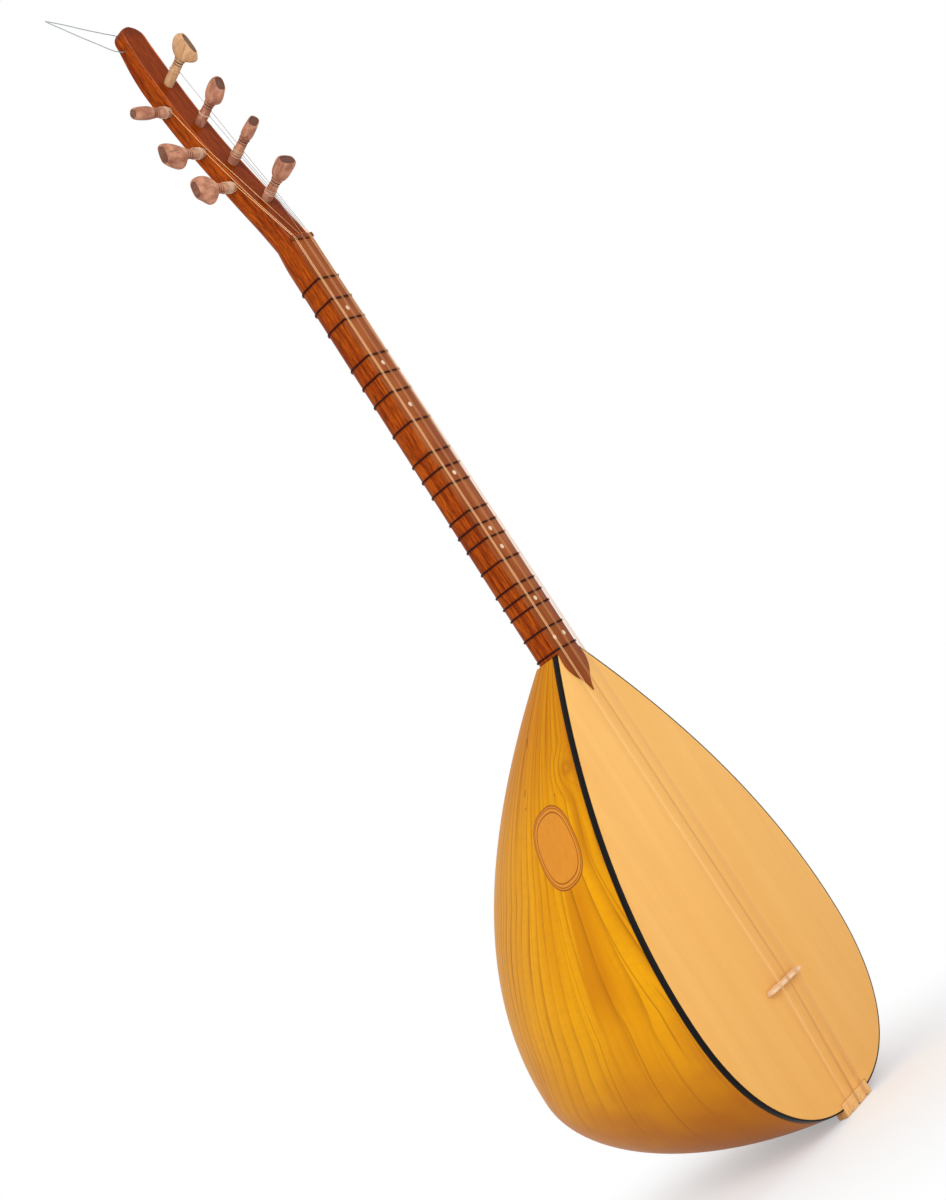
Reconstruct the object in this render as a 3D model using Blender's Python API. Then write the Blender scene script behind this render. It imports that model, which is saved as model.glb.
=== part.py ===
"""A short-neck saz: carved bowl, flat soundboard, tied frets, seven strings and seven pegs.

The instrument stands upright in its own frame. +Z runs up the neck and the lowest point of the
bowl's edge is at z = 0. The soundboard's front is the plane y = 0 and faces -Y, the bowl reaches
back to +Y, and +X is the right of someone who looks at the front. All sizes are in metres.
"""

from math import cos, pi, radians, sin, sqrt

import bmesh
import bpy
from mathutils import Vector

# Driving dimensions
BODY_LENGTH = 0.420
BODY_WIDTH = 0.247
BODY_DEPTH = 0.255
SCALE_LENGTH = 0.711
GAP = 0.0003

# Carved bowl: where it is widest and deepest, and how full its curves are
HALF_WIDTH = BODY_WIDTH / 2
WIDEST_Z = 0.1357
TAIL_POWER = 2.28
JOINT_HALF_WIDTH = 0.0155
OUTLINE_FLARE = 0.114
DEEPEST_Z = 0.1119
DEPTH_TAIL_POWER = 1.94
JOINT_DEPTH = 0.0345
SECTION_POWER = 2.21
WALL = 0.0070
TAIL_WALL = 0.0120
CAVITY_TOP = 0.372
SOUND_HOLE_RADIUS = 0.0070
SOUND_HOLE_DEPTH = 0.045

# Soundboard, its edge and its braces
SOUNDBOARD_THICKNESS = 0.0030
BINDING_WIDTH = 0.0016
BINDING_HEIGHT = 0.0055
BRACE_HEIGHTS_ON_BODY = {"brace_lower": 0.165, "brace_upper": 0.285}
BRACE_THICKNESS = 0.0060
BRACE_DEPTH = 0.0080

# Neck and fingerboard
LAST_FRET_ABOVE_JOINT = 0.0035
NUT_Z = BODY_LENGTH + LAST_FRET_ABOVE_JOINT + SCALE_LENGTH * 5 / 9
BRIDGE_Z = NUT_Z - SCALE_LENGTH
NECK_HALF_WIDTH = {"joint": 0.0140, "nut": 0.0130}
NECK_DEPTH = {"joint": 0.0285, "nut": 0.0265}
NECK_EDGE_RADIUS = 0.0010
TENON = {"half_width": 0.0055, "front": 0.0080, "back": 0.0220, "length": 0.0250}
FINGERBOARD_THICKNESS = 0.0012
FINGERBOARD_FRONT = -GAP - FINGERBOARD_THICKNESS
TONGUE_LENGTH = 0.0385

# Frets: the part of the open string that each one leaves to sound
FRET_RATIOS = (
    17 / 18, 11 / 12, 8 / 9, 68 / 81, 22 / 27, 64 / 81, 3 / 4, 17 / 24, 11 / 16, 2 / 3,
    17 / 27, 11 / 18, 16 / 27, 9 / 16, 17 / 32, 33 / 64, 1 / 2, 17 / 36, 4 / 9,
)
FRET_WIDTH = 0.0020
FRET_THICKNESS = 0.0007

# Headstock: s is the distance along it from the nut. It leans back, straight at first, and then
# curves forward until its tip is upright again
HEAD_ANGLE = radians(11.5)
HEAD_CURVE_S = 0.080
HEAD_LENGTH = 0.2375
HEAD_CURVE_RADIUS = (HEAD_LENGTH - HEAD_CURVE_S) / HEAD_ANGLE
HEAD_HALF_WIDTH = 0.0147
HEAD_THICKNESS = {"nut": 0.0250, "middle": 0.0175, "tip": 0.0130}
HEAD_ROUND_S = 0.2275
SPLICE_S = 0.0060
HANG_HOLE_S = 0.2180
HANG_HOLE_DEPTH = 0.0068
HANG_HOLE_RADIUS = 0.0013

# Pegs
PEG_PLACES = {
    "front_1": 0.178, "front_2": 0.134, "front_3": 0.0895, "front_4": 0.0455,
    "side_1": 0.1535, "side_2": 0.108, "side_3": 0.068,
}
FRONT_PEG_X = 0.0015
SIDE_PEG_DEPTH = 0.0056
PEG_RADIUS = 0.0036
PEG_COLLAR = 0.0190
PEG_REACH = {"front": 0.0412, "side": 0.0450}
FRONT_PEG_LEAN = radians(14)
SIDE_PEG_LEAN = radians(3)
PEG_TURN = {
    "front_1": 9, "front_2": -15, "front_3": 122, "front_4": 70,
    "side_1": 49, "side_2": -41, "side_3": -30,
}
PEG_HEAD_HALF_WIDTH = {"front_1": 0.0110}
COMMON_PEG_HEAD_HALF_WIDTH = 0.0098

# Strings: each course's peg names, its place across the nut and the bridge, and how far up the
# headstock a string from the side rests on the edge of its face
STRING_RADIUS = 0.0002
COURSES = (
    {"pegs": ("side_3", "side_2"), "nut": (-0.0116, -0.0099), "bridge": (-0.0146, -0.0129)},
    {"pegs": ("side_1", "front_4"), "nut": (-0.0016, 0.0001), "bridge": (-0.0016, 0.0001)},
    {
        "pegs": ("front_3", "front_2", "front_1"),
        "nut": (0.0070, 0.0084, 0.0098),
        "bridge": (0.0120, 0.0137, 0.0154),
    },
)
RIDGE_REST = {"side_1": 0.108, "side_2": 0.058}
WINDING_TURNS = 2
WINDING_POINTS = 24
WINDING_WIRE = 0.00025
WINDING_PITCH = 0.00105
WINDING_HEIGHT = {
    "front_1": 0.0130, "front_2": 0.0095, "front_3": 0.0070, "front_4": 0.0060,
    "side_1": 0.0040, "side_2": 0.0035, "side_3": 0.0030,
}

# Nut, bridge and tail block
NUT_HALF_LENGTH = 0.0130
NUT_THICKNESS = 0.0040
NUT_FRONT = -0.0034
NUT_GROOVE_FLOOR = -0.0019
STRING_AT_NUT = -0.0031
BRIDGE_HALF_LENGTH = 0.0262
BRIDGE_HEIGHT = 0.0068
BRIDGE_BASE = 0.0056
BRIDGE_TOP = 0.0026
BLOCK_HALF_WIDTH = 0.0230
BLOCK_END = -0.0050
BLOCK_INNER = 0.0060
BLOCK_BACK = 0.0095
BLOCK_SLOT_DEPTH = 0.0015

# Hanging loop
LOOP_DIAMETER = 0.0008


def finish(name, colour, roughness, metallic=0.0):
    """A material with one plain colour, kept under its name."""
    material = bpy.data.materials.get(name) or bpy.data.materials.new(name)
    material.use_nodes = True
    shader = material.node_tree.nodes["Principled BSDF"]
    shader.inputs["Base Color"].default_value = (*colour, 1)
    shader.inputs["Roughness"].default_value = roughness
    shader.inputs["Metallic"].default_value = metallic
    return material


def finishes():
    return {
        "bowl_wood": finish("bowl_wood", (0.72, 0.34, 0.05), 0.25),
        "soundboard_wood": finish("soundboard_wood", (0.83, 0.46, 0.13), 0.35),
        "binding_black": finish("binding_black", (0.012, 0.010, 0.010), 0.35),
        "neck_wood": finish("neck_wood", (0.36, 0.10, 0.02), 0.30),
        "fingerboard_wood": finish("fingerboard_wood", (0.26, 0.07, 0.02), 0.35),
        "peg_wood": finish("peg_wood", (0.52, 0.26, 0.14), 0.60),
        "pale_wood": finish("pale_wood", (0.76, 0.56, 0.34), 0.55),
        "fret_line": finish("fret_line", (0.03, 0.012, 0.010), 0.45),
        "string_steel": finish("string_steel", (0.70, 0.66, 0.60), 0.25, 1.0),
        "loop_line": finish("loop_line", (0.75, 0.75, 0.74), 0.30),
    }


def add_object(name, mesh, material):
    thing = bpy.data.objects.new(name, mesh)
    bpy.context.scene.collection.objects.link(thing)
    if material:
        mesh.materials.append(material)
    return thing


def mesh_from(name, points, faces):
    """A mesh with its faces turned outwards."""
    shape = bmesh.new()
    verts = [shape.verts.new(point) for point in points]
    for face in faces:
        shape.faces.new([verts[index] for index in face])
    bmesh.ops.recalc_face_normals(shape, faces=shape.faces)
    mesh = bpy.data.meshes.new(name)
    shape.to_mesh(mesh)
    shape.free()
    return mesh


def loft(name, rings, material=None):
    """A closed solid through rings of equal length; a ring of one point is a pole."""
    points, starts = [], []
    for ring in rings:
        starts.append(len(points))
        points.extend(ring)
    faces = []
    for low, high in zip(range(len(rings) - 1), range(1, len(rings))):
        count = max(len(rings[low]), len(rings[high]))
        for i in range(count):
            j = (i + 1) % count
            if len(rings[low]) == 1:
                faces.append((starts[low], starts[high] + i, starts[high] + j))
            elif len(rings[high]) == 1:
                faces.append((starts[low] + i, starts[low] + j, starts[high]))
            else:
                faces.append(
                    (starts[low] + i, starts[low] + j, starts[high] + j, starts[high] + i)
                )
    for ring, start in ((rings[0], starts[0]), (rings[-1], starts[-1])):
        if len(ring) > 1:
            faces.append(tuple(range(start, start + len(ring))))
    return add_object(name, mesh_from(name, points, faces), material)


def box(name, low, high, material=None):
    """A box between its lowest and its highest corner."""
    (x0, y0, z0), (x1, y1, z1) = low, high
    bottom = [Vector(p) for p in ((x0, y0, z0), (x1, y0, z0), (x1, y1, z0), (x0, y1, z0))]
    top = [point + Vector((0, 0, z1 - z0)) for point in bottom]
    return loft(name, [bottom, top], material)


def plate(name, outline, front, back, material=None):
    """A flat plate with an outline of (x, z) points between two planes of constant y."""
    return loft(name, [[Vector((x, y, z)) for x, z in outline] for y in (front, back)], material)


def rod(name, start, end, radius, sides=14, material=None):
    """A round rod between two points."""
    axis = (end - start).normalized()
    across = axis.orthogonal().normalized()
    beside = axis.cross(across)
    turns = [2 * pi * i / sides for i in range(sides)]
    ring = [across * radius * cos(turn) + beside * radius * sin(turn) for turn in turns]
    return loft(name, [[end_point + p for p in ring] for end_point in (start, end)], material)


def tube(name, points, radius, material, resolution=2):
    """A round line through points, with closed ends."""
    curve = bpy.data.curves.new(name, "CURVE")
    curve.dimensions = "3D"
    curve.bevel_depth = radius
    curve.bevel_resolution = resolution
    curve.use_fill_caps = True
    spline = curve.splines.new("POLY")
    spline.points.add(len(points) - 1)
    for slot, point in zip(spline.points, points):
        slot.co = (*point, 1)
    return add_object(name, curve, material)


def combine(target, tool, operation):
    """Cuts a tool out of a solid or joins it on, and removes the tool."""
    modifier = target.modifiers.new(operation, "BOOLEAN")
    modifier.operation = operation
    modifier.object = tool
    bpy.context.view_layer.update()
    graph = bpy.context.evaluated_depsgraph_get()
    old = target.data
    target.data = bpy.data.meshes.new_from_object(target.evaluated_get(graph))
    target.modifiers.clear()
    target.data.name = target.name
    bpy.data.meshes.remove(old)
    bpy.data.objects.remove(tool, do_unlink=True)


def cut(target, tool):
    combine(target, tool, "DIFFERENCE")


def join(target, tool):
    combine(target, tool, "UNION")


def smooth(thing, angle=35):
    thing.data.shade_smooth()
    thing.data.set_sharp_from_angle(angle=radians(angle))


def tail_share(z, full_z, power):
    """How much of its full size the body has at a height in its rounded tail."""
    return max(0.0, 1 - (1 - min(z, full_z) / full_z) ** power) ** (1 / power)


def neckward(z, full_z):
    """0 where the body has its full size and 1 at the neck joint."""
    return max(0.0, z - full_z) / (BODY_LENGTH - full_z)


def body_half_width(z):
    """A rounded tail, then a parabola that eases into the neck."""
    if z < WIDEST_Z:
        return HALF_WIDTH * tail_share(z, WIDEST_Z, TAIL_POWER)
    t = neckward(z, WIDEST_Z)
    drop = 1 + OUTLINE_FLARE - JOINT_HALF_WIDTH / HALF_WIDTH
    return HALF_WIDTH * (1 - drop * t**2 + OUTLINE_FLARE * t**3)


def body_depth(z):
    """A rounded tail, then a parabola down to the neck's depth."""
    if z < DEEPEST_Z:
        return BODY_DEPTH * tail_share(z, DEEPEST_Z, DEPTH_TAIL_POWER)
    return BODY_DEPTH * (1 - (1 - JOINT_DEPTH / BODY_DEPTH) * neckward(z, DEEPEST_Z) ** 2)


def half_section(half_width, depth, z, steps):
    """The bowl's section: a rounded arch from the right edge over the back to the left."""
    ring = []
    for i in range(steps + 1):
        turn = pi * i / steps
        across = abs(cos(turn)) ** (2 / SECTION_POWER)
        x = half_width * across * (1 if cos(turn) > 0 else -1)
        ring.append(Vector((x, depth * abs(sin(turn)) ** (2 / SECTION_POWER), z)))
    return ring


def body_heights(tail_steps, neck_steps, top):
    """Heights along the body, close together where its edge turns."""
    tail = [WIDEST_Z * (1 - cos(pi / 2 * i / tail_steps)) for i in range(1, tail_steps + 1)]
    return tail + [WIDEST_Z + (top - WIDEST_Z) * i / neck_steps for i in range(1, neck_steps + 1)]


def tail_point(turn):
    """A place on the tail's edge, from its widest place at 0 to its end at a quarter turn."""
    share = sin(turn) ** (2 / TAIL_POWER)
    return HALF_WIDTH * cos(turn) ** (2 / TAIL_POWER), WIDEST_Z * (1 - share)


def body_outline(inset, top, tail_steps=14, neck_steps=16):
    """The body's outline from the top right round the tail to the top left, inset all round."""
    right = []
    step = 0.0005
    for i in range(neck_steps):
        z = top - (top - WIDEST_Z) * i / neck_steps
        slope = (body_half_width(z) - body_half_width(z - step)) / step
        right.append((body_half_width(z) - inset * sqrt(1 + slope**2), z))
    right.append((HALF_WIDTH - inset, WIDEST_Z))
    for i in range(1, tail_steps):
        turn = pi / 2 * i / tail_steps
        (x, z), (ahead_x, ahead_z) = tail_point(turn), tail_point(turn + step)
        along = sqrt((ahead_x - x) ** 2 + (ahead_z - z) ** 2)
        right.append((x + inset * (ahead_z - z) / along, z - inset * (ahead_x - x) / along))
    tail = (0.0, inset)
    return right + [tail] + [(-x, z) for x, z in reversed(right)]


def above_block(outline):
    """An outline cut straight where the tail block is let in."""
    return [(x, max(z, BLOCK_INNER + GAP)) for x, z in outline]


def bowl(material):
    """One carved piece with a rim, a hollow, a mortise for the neck and a small sound hole."""
    rings = [[Vector((0, 0, 0))]]
    for z in body_heights(9, 11, BODY_LENGTH):
        rings.append(half_section(body_half_width(z), body_depth(z), z, 22))
    shell = loft("bowl", rings, material)
    ledge = BINDING_HEIGHT + GAP
    wide = BODY_WIDTH
    cut(shell, box("ledge_cut", (-wide, -wide, -0.01), (wide, ledge, BODY_LENGTH + 0.01)))
    rim = body_outline(BINDING_WIDTH + GAP, BODY_LENGTH)
    rim_front = SOUNDBOARD_THICKNESS + GAP
    join(shell, plate("rim", above_block(rim), rim_front, ledge + 0.0020))

    hollow_rings = []
    front = Vector((0, -0.01, 0))
    for z in body_heights(7, 7, CAVITY_TOP):
        inner_z = max(z, TAIL_WALL + z * (1 - TAIL_WALL / WIDEST_Z))
        width = body_half_width(z) * (1 - WALL / HALF_WIDTH)
        depth = body_depth(z) * (1 - WALL / BODY_DEPTH)
        if z > WIDEST_Z:
            width, depth = body_half_width(z) - WALL, min(depth, body_depth(z) - WALL * 1.25)
        arch = half_section(width, depth, inner_z, 16)
        hollow_rings.append([arch[0] + front] + arch + [arch[-1] + front])
    cut(shell, loft("hollow", hollow_rings))

    clear = TENON["half_width"] + GAP
    low = (-clear, TENON["front"] - GAP, BODY_LENGTH - TENON["length"] - GAP)
    high = (clear, TENON["back"] + GAP, BODY_LENGTH + 0.01)
    cut(shell, box("mortise", low, high))
    clear = BLOCK_HALF_WIDTH + GAP
    low = (-clear, -0.01, -0.01)
    high = (clear, BLOCK_BACK + GAP, BLOCK_INNER + GAP)
    cut(shell, box("block_notch", low, high))
    low = Vector((0, SOUND_HOLE_DEPTH, -0.01))
    cut(shell, rod("sound_hole", low, low + Vector((0, 0, 0.04)), SOUND_HOLE_RADIUS, 20))
    smooth(shell)
    return shell


def soundboard(material):
    outline = above_block(body_outline(BINDING_WIDTH + GAP, BODY_LENGTH - GAP))
    outline = [point for i, point in enumerate(outline) if point != outline[i - 1]]
    return plate("soundboard", outline, 0.0, SOUNDBOARD_THICKNESS, material)


def edge_binding(side, material):
    """A black strip let into the bowl's edge, from the neck joint to the tail block."""
    sign = {"left": -1, "right": 1}[side]
    outer = [p for p in body_outline(0.0, BODY_LENGTH - GAP, 20, 22) if p[0] > 0]
    inner = [p for p in body_outline(BINDING_WIDTH, BODY_LENGTH - GAP, 20, 22) if p[0] > 0]
    stop = BLOCK_HALF_WIDTH + 2 * GAP
    pairs = [(a, b) for a, b in zip(outer, inner) if b[0] > stop or b[1] > WIDEST_Z]
    ends = []
    for points in (outer, inner):
        k = next(i for i, (x, z) in enumerate(points) if x < stop and z < WIDEST_Z)
        (x0, z0), (x1, z1) = points[k - 1], points[k]
        ends.append((stop, z0 + (z1 - z0) * (x0 - stop) / (x0 - x1)))
    pairs[-1] = tuple(ends)
    rings = []
    for (ax, az), (bx, bz) in pairs:
        corners = ((ax, 0.0, az), (ax, BINDING_HEIGHT, az), (bx, BINDING_HEIGHT, bz), (bx, 0.0, bz))
        rings.append([Vector((sign * x, y, z)) for x, y, z in corners])
    return loft(f"edge_binding_{side}", rings, material)


def brace(name, z, material):
    """A bar glued across the back of the soundboard, with its ends sloped off."""
    half = body_half_width(z) - WALL - 0.0035
    front = SOUNDBOARD_THICKNESS + GAP
    back = front + BRACE_DEPTH
    slope = 0.025
    rings = []
    for side in (-1, 1):
        z_side = z + side * BRACE_THICKNESS / 2
        profile = (
            (-half, front), (half, front), (half, front + BRACE_DEPTH * 0.35),
            (half - slope, back), (slope - half, back), (-half, front + BRACE_DEPTH * 0.35),
        )
        rings.append([Vector((x, y, z_side)) for x, y in profile])
    return loft(name, rings, material)


def u_section(half_width, depth, edge_radius, back_radius, corner=3, back=6):
    """A flat front, straight sides and a rounded back, as (across, back) pairs."""
    right = []
    for i in range(corner + 1):
        turn = pi / 2 * (1 - i / corner)
        x = half_width - edge_radius * (1 - cos(turn))
        right.append((x, edge_radius * (1 - sin(turn))))
    for i in range(back + 1):
        turn = pi / 2 * i / back
        x = half_width - back_radius * (1 - cos(turn))
        right.append((x, depth - back_radius * (1 - sin(turn))))
    return right + [(-x, y) for x, y in reversed(right)]


def placed(section, origin, back_axis):
    """A section's points in space: across along X, and back along back_axis."""
    return [origin + Vector((x, 0, 0)) + back_axis * y for x, y in section]


def head_lean(s):
    """How far the headstock leans back at a place along it."""
    return HEAD_ANGLE - max(0.0, s - HEAD_CURVE_S) / HEAD_CURVE_RADIUS


def head_up(s):
    return Vector((0, sin(head_lean(s)), cos(head_lean(s))))


def head_back(s):
    return Vector((0, cos(head_lean(s)), -sin(head_lean(s))))


def on_head(x, s, height):
    """A place on the headstock: across, along it from the nut, and out from its face."""
    straight, lean = min(s, HEAD_CURVE_S), head_lean(s)
    y = straight * sin(HEAD_ANGLE) + HEAD_CURVE_RADIUS * (cos(lean) - cos(HEAD_ANGLE))
    z = straight * cos(HEAD_ANGLE) + HEAD_CURVE_RADIUS * (sin(HEAD_ANGLE) - sin(lean))
    return Vector((x, y, NUT_Z + z)) - head_back(s) * height


def ease(t):
    t = min(1.0, max(0.0, t))
    return t * t * (3 - 2 * t)


def between(start, end, share):
    return start + (end - start) * share


def head_half_width(s):
    flared = between(NECK_HALF_WIDTH["nut"], HEAD_HALF_WIDTH, ease((s - 0.022) / 0.033))
    drawn_in = 0.0009 * ease((s - 0.200) / 0.026)
    if s <= HEAD_ROUND_S:
        return flared - drawn_in
    round_share = (s - HEAD_ROUND_S) / (HEAD_LENGTH - HEAD_ROUND_S)
    return (flared - drawn_in) * sqrt(max(0.0, 1 - round_share**2))


def head_thickness(s):
    nut, middle, tip = (HEAD_THICKNESS[place] for place in ("nut", "middle", "tip"))
    thinned = between(nut, middle, ease((s + 0.020) / 0.115))
    return thinned - (middle - tip) * ease((s - 0.180) / (HEAD_LENGTH - 0.180))


def head_section(s):
    half_width = head_half_width(s)
    square = ease(s / 0.090)
    edge = min(between(NECK_EDGE_RADIUS, 0.0018, square), half_width * 0.5)
    back = min(between(half_width - 0.0004, 0.0042, square), half_width - 0.0002)
    return u_section(half_width, head_thickness(s), edge, back)


def neck_section(z):
    share = (z - BODY_LENGTH) / (NUT_Z - BODY_LENGTH)
    half_width = between(NECK_HALF_WIDTH["joint"], NECK_HALF_WIDTH["nut"], share)
    depth = between(NECK_DEPTH["joint"], NECK_DEPTH["nut"], share)
    return u_section(half_width, depth, NECK_EDGE_RADIUS, half_width - 0.0004)


def neck(material):
    """The neck, with a tenon for the bowl and a splice for the headstock."""
    flat_back = Vector((0, 1, 0))
    rings = []
    for z in (BODY_LENGTH + GAP, between(BODY_LENGTH, NUT_Z, 0.5), NUT_Z - 0.018):
        rings.append(placed(neck_section(z), Vector((0, 0, z)), flat_back))
    rings.append(placed(head_section(SPLICE_S), on_head(0, SPLICE_S, 0), head_back(SPLICE_S)))
    shaft = loft("neck", rings, material)
    low = (-TENON["half_width"], TENON["front"], BODY_LENGTH - TENON["length"])
    high = (TENON["half_width"], TENON["back"], BODY_LENGTH + 0.010)
    join(shaft, box("tenon", low, high))
    smooth(shaft)
    return shaft


def fingerboard(material):
    """A thin plate on the neck, which ends as a pointed leaf on the soundboard."""
    top = NUT_Z - NUT_THICKNESS / 2 - GAP
    joint = BODY_LENGTH
    tip = joint - TONGUE_LENGTH
    leaf = (
        (0.0142, joint - 0.001), (0.0151, joint - 0.007), (0.0148, joint - 0.0125),
        (0.0130, joint - 0.0175), (0.0098, joint - 0.0225), (0.0062, joint - 0.0265),
        (0.0030, joint - 0.0310), (0.0011, joint - 0.0352),
    )
    right = [(NECK_HALF_WIDTH["nut"] + 0.00001, top), (NECK_HALF_WIDTH["joint"], joint + 0.004), *leaf]
    outline = right + [(0.0, tip)] + [(-x, z) for x, z in reversed(right)]
    return plate("fingerboard", outline, FINGERBOARD_FRONT, -GAP, material)


def fret_height(number):
    return NUT_Z - SCALE_LENGTH * (1 - FRET_RATIOS[number - 1])


def fret(number, material):
    """A band of line tied round the neck and the fingerboard."""
    centre = fret_height(number)
    share = (centre - BODY_LENGTH) / (NUT_Z - BODY_LENGTH)
    half_width = between(NECK_HALF_WIDTH["joint"], NECK_HALF_WIDTH["nut"], share) + 0.0001
    depth = between(NECK_DEPTH["joint"], NECK_DEPTH["nut"], share) - FINGERBOARD_FRONT + 0.0001
    bands = []
    for out in (GAP, GAP + FRET_THICKNESS):
        corner_radius = 0.0002 + out - GAP
        section = u_section(half_width + out, depth + 2 * out, corner_radius,
                            half_width - 0.0004 + out, corner=1, back=4)
        origin = Vector((0, FINGERBOARD_FRONT - out, 0))
        bands.append(placed(section, origin, Vector((0, 1, 0))))
    inner, outer = bands
    low = Vector((0, 0, centre - FRET_WIDTH / 2))
    high = Vector((0, 0, centre + FRET_WIDTH / 2))
    count = len(inner)
    rings = [
        (inner[i] + low, outer[i] + low, outer[i] + high, inner[i] + high) for i in range(count)
    ]
    points = [point for ring in rings for point in ring]
    faces = []
    for i in range(count):
        j = (i + 1) % count
        for k in range(4):
            m = (k + 1) % 4
            faces.append((4 * i + k, 4 * i + m, 4 * j + m, 4 * j + k))
    name = f"fret_{number:02d}"
    return add_object(name, mesh_from(name, points, faces), material)


def peg_frame(name):
    """A peg's place on the wood's surface, its outward axis, the way up the headstock across that
    axis, and how much wood it goes through."""
    s = PEG_PLACES[name]
    if name.startswith("front"):
        out = Vector((0, -cos(FRONT_PEG_LEAN), sin(FRONT_PEG_LEAN)))
        up = Vector((0, sin(FRONT_PEG_LEAN), cos(FRONT_PEG_LEAN)))
        return on_head(FRONT_PEG_X, s, 0), out, up, head_thickness(s)
    out = Vector((-cos(SIDE_PEG_LEAN), 0, 0)) + head_up(s) * sin(SIDE_PEG_LEAN)
    up = Vector((sin(SIDE_PEG_LEAN), 0, 0)) + head_up(s) * cos(SIDE_PEG_LEAN)
    return on_head(-HEAD_HALF_WIDTH, s, -SIDE_PEG_DEPTH), out, up, 2 * HEAD_HALF_WIDTH


def headstock(material):
    """The pegbox: a solid bar with seven bores and a hole for the hanging loop."""
    stations = [SPLICE_S + GAP, 0.014, 0.022, 0.030, 0.038, 0.046, 0.055, 0.070, HEAD_CURVE_S]
    stations += [0.095, 0.114, 0.133, 0.152, 0.171, 0.190, 0.203, 0.214, HEAD_ROUND_S]
    round_steps = 6
    stations += [
        between(HEAD_ROUND_S, HEAD_LENGTH, sin(pi / 2 * i / round_steps))
        for i in range(1, round_steps)
    ]
    stations.append(HEAD_LENGTH - 0.00008)
    rings = [placed(head_section(s), on_head(0, s, 0), head_back(s)) for s in stations]
    bar = loft("headstock", rings, material)
    for name in PEG_PLACES:
        face, out, _, through = peg_frame(name)
        cut(bar, rod("bore", face + out * 0.01, face - out * (through + 0.01), PEG_RADIUS + GAP))
    start = on_head(-0.03, HANG_HOLE_S, -HANG_HOLE_DEPTH)
    cut(bar, rod("hang_hole", start, start + Vector((0.06, 0, 0)), HANG_HOLE_RADIUS, 12))
    smooth(bar)
    return bar


def peg(name, material):
    """A turned shaft and collar with a flattened, flared head, loft along its own axis."""
    face, out, up, through = peg_frame(name)
    turn = radians(PEG_TURN[name])
    wide = out.cross(-up) * sin(turn) - up * cos(turn)
    thick = out.cross(wide)
    recess = 0.0008
    broad = PEG_HEAD_HALF_WIDTH.get(name, COMMON_PEG_HEAD_HALF_WIDTH)
    head = PEG_REACH[name.split("_")[0]] - PEG_COLLAR
    profile = (
        (recess - through, 0.0032, 0.0032), (recess - through + 0.0006, 0.0036, 0.0036),
        (PEG_COLLAR - 0.0015, 0.0036, 0.0036), (PEG_COLLAR - 0.0008, 0.0046, 0.0046),
        (PEG_COLLAR + 0.0008, 0.0047, 0.0047), (PEG_COLLAR + 0.0016, 0.0041, 0.0041),
        (PEG_COLLAR + head * 0.17, broad * 0.54, 0.0046), (PEG_COLLAR + head * 0.32, broad * 0.82, 0.0052),
        (PEG_COLLAR + head * 0.50, broad, 0.0056), (PEG_COLLAR + head * 0.68, broad * 0.98, 0.0055),
        (PEG_COLLAR + head * 0.86, broad * 0.84, 0.0050), (PEG_COLLAR + head, broad * 0.73, 0.0045),
    )
    sides = 12
    rings = []
    for along, half_wide, half_thick in profile:
        centre = face + out * along
        ring = []
        for i in range(sides):
            angle = 2 * pi * i / sides
            ring.append(centre + wide * half_wide * cos(angle) + thick * half_thick * sin(angle))
        rings.append(ring)
    solid = loft(f"peg_{name}", rings, material)
    smooth(solid, 50)
    return solid


def winding_points(name):
    """A helix round a peg, which ends where the string leaves towards the nut."""
    face, out, up, _ = peg_frame(name)
    radius = PEG_RADIUS + GAP + WINDING_WIRE
    side = -head_back(PEG_PLACES[name]) if name.startswith("side") else Vector((1, 0, 0))
    count = WINDING_TURNS * WINDING_POINTS
    points = []
    for i in range(count + 1):
        turn = 2 * pi * (i - count) / WINDING_POINTS
        height = WINDING_HEIGHT[name] + WINDING_PITCH * (count - i) / WINDING_POINTS
        points.append(face + out * height + side * radius * cos(turn) - up * radius * sin(turn))
    return points


def least_gap(points, radius):
    """The least distance between the surfaces of two turns of a winding."""
    near = WINDING_POINTS // 2
    pairs = ((p, q) for i, p in enumerate(points) for q in points[i + near:])
    return min((p - q).length for p, q in pairs) - 2 * radius


def winding(name, material):
    points = winding_points(name)
    print(f"winding_{name}: least gap {least_gap(points, WINDING_WIRE) * 1000:.2f} mm")
    return tube(f"winding_{name}", points, WINDING_WIRE, material, resolution=1)


def string_route(name, nut_x, bridge_x):
    """A string from beside its winding over the nut and the bridge into the tail block."""
    leave = winding_points(name)[-1]
    nut = Vector((nut_x, STRING_AT_NUT, NUT_Z))
    toward = (nut - leave).normalized()
    clear_of_winding = 0.0030
    bridge_front = -GAP - BRIDGE_HEIGHT - 1.5 * GAP - STRING_RADIUS
    in_slot = BLOCK_END + BLOCK_SLOT_DEPTH - 1.3 * GAP - STRING_RADIUS
    if name in RIDGE_REST:
        s = RIDGE_REST[name]
        rest = on_head(-head_half_width(s) - 0.0001, s, 0.0002)
        toward = (rest - leave).normalized()
        upper = [leave + toward * clear_of_winding, rest]
    else:
        upper = [leave + toward * clear_of_winding]
    return upper + [
        nut,
        Vector((bridge_x, bridge_front, BRIDGE_Z)),
        Vector((bridge_x, -0.0006, in_slot + 0.0010)),
        Vector((bridge_x, -0.0004, in_slot + 0.0002)),
        Vector((bridge_x, 0.0002, in_slot)),
        Vector((bridge_x, BLOCK_BACK - 0.0015, in_slot)),
    ]


def strings(material):
    for course in COURSES:
        for name, nut_x, bridge_x in zip(course["pegs"], course["nut"], course["bridge"]):
            tube(f"string_{name}", string_route(name, nut_x, bridge_x), STRING_RADIUS, material)


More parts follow.
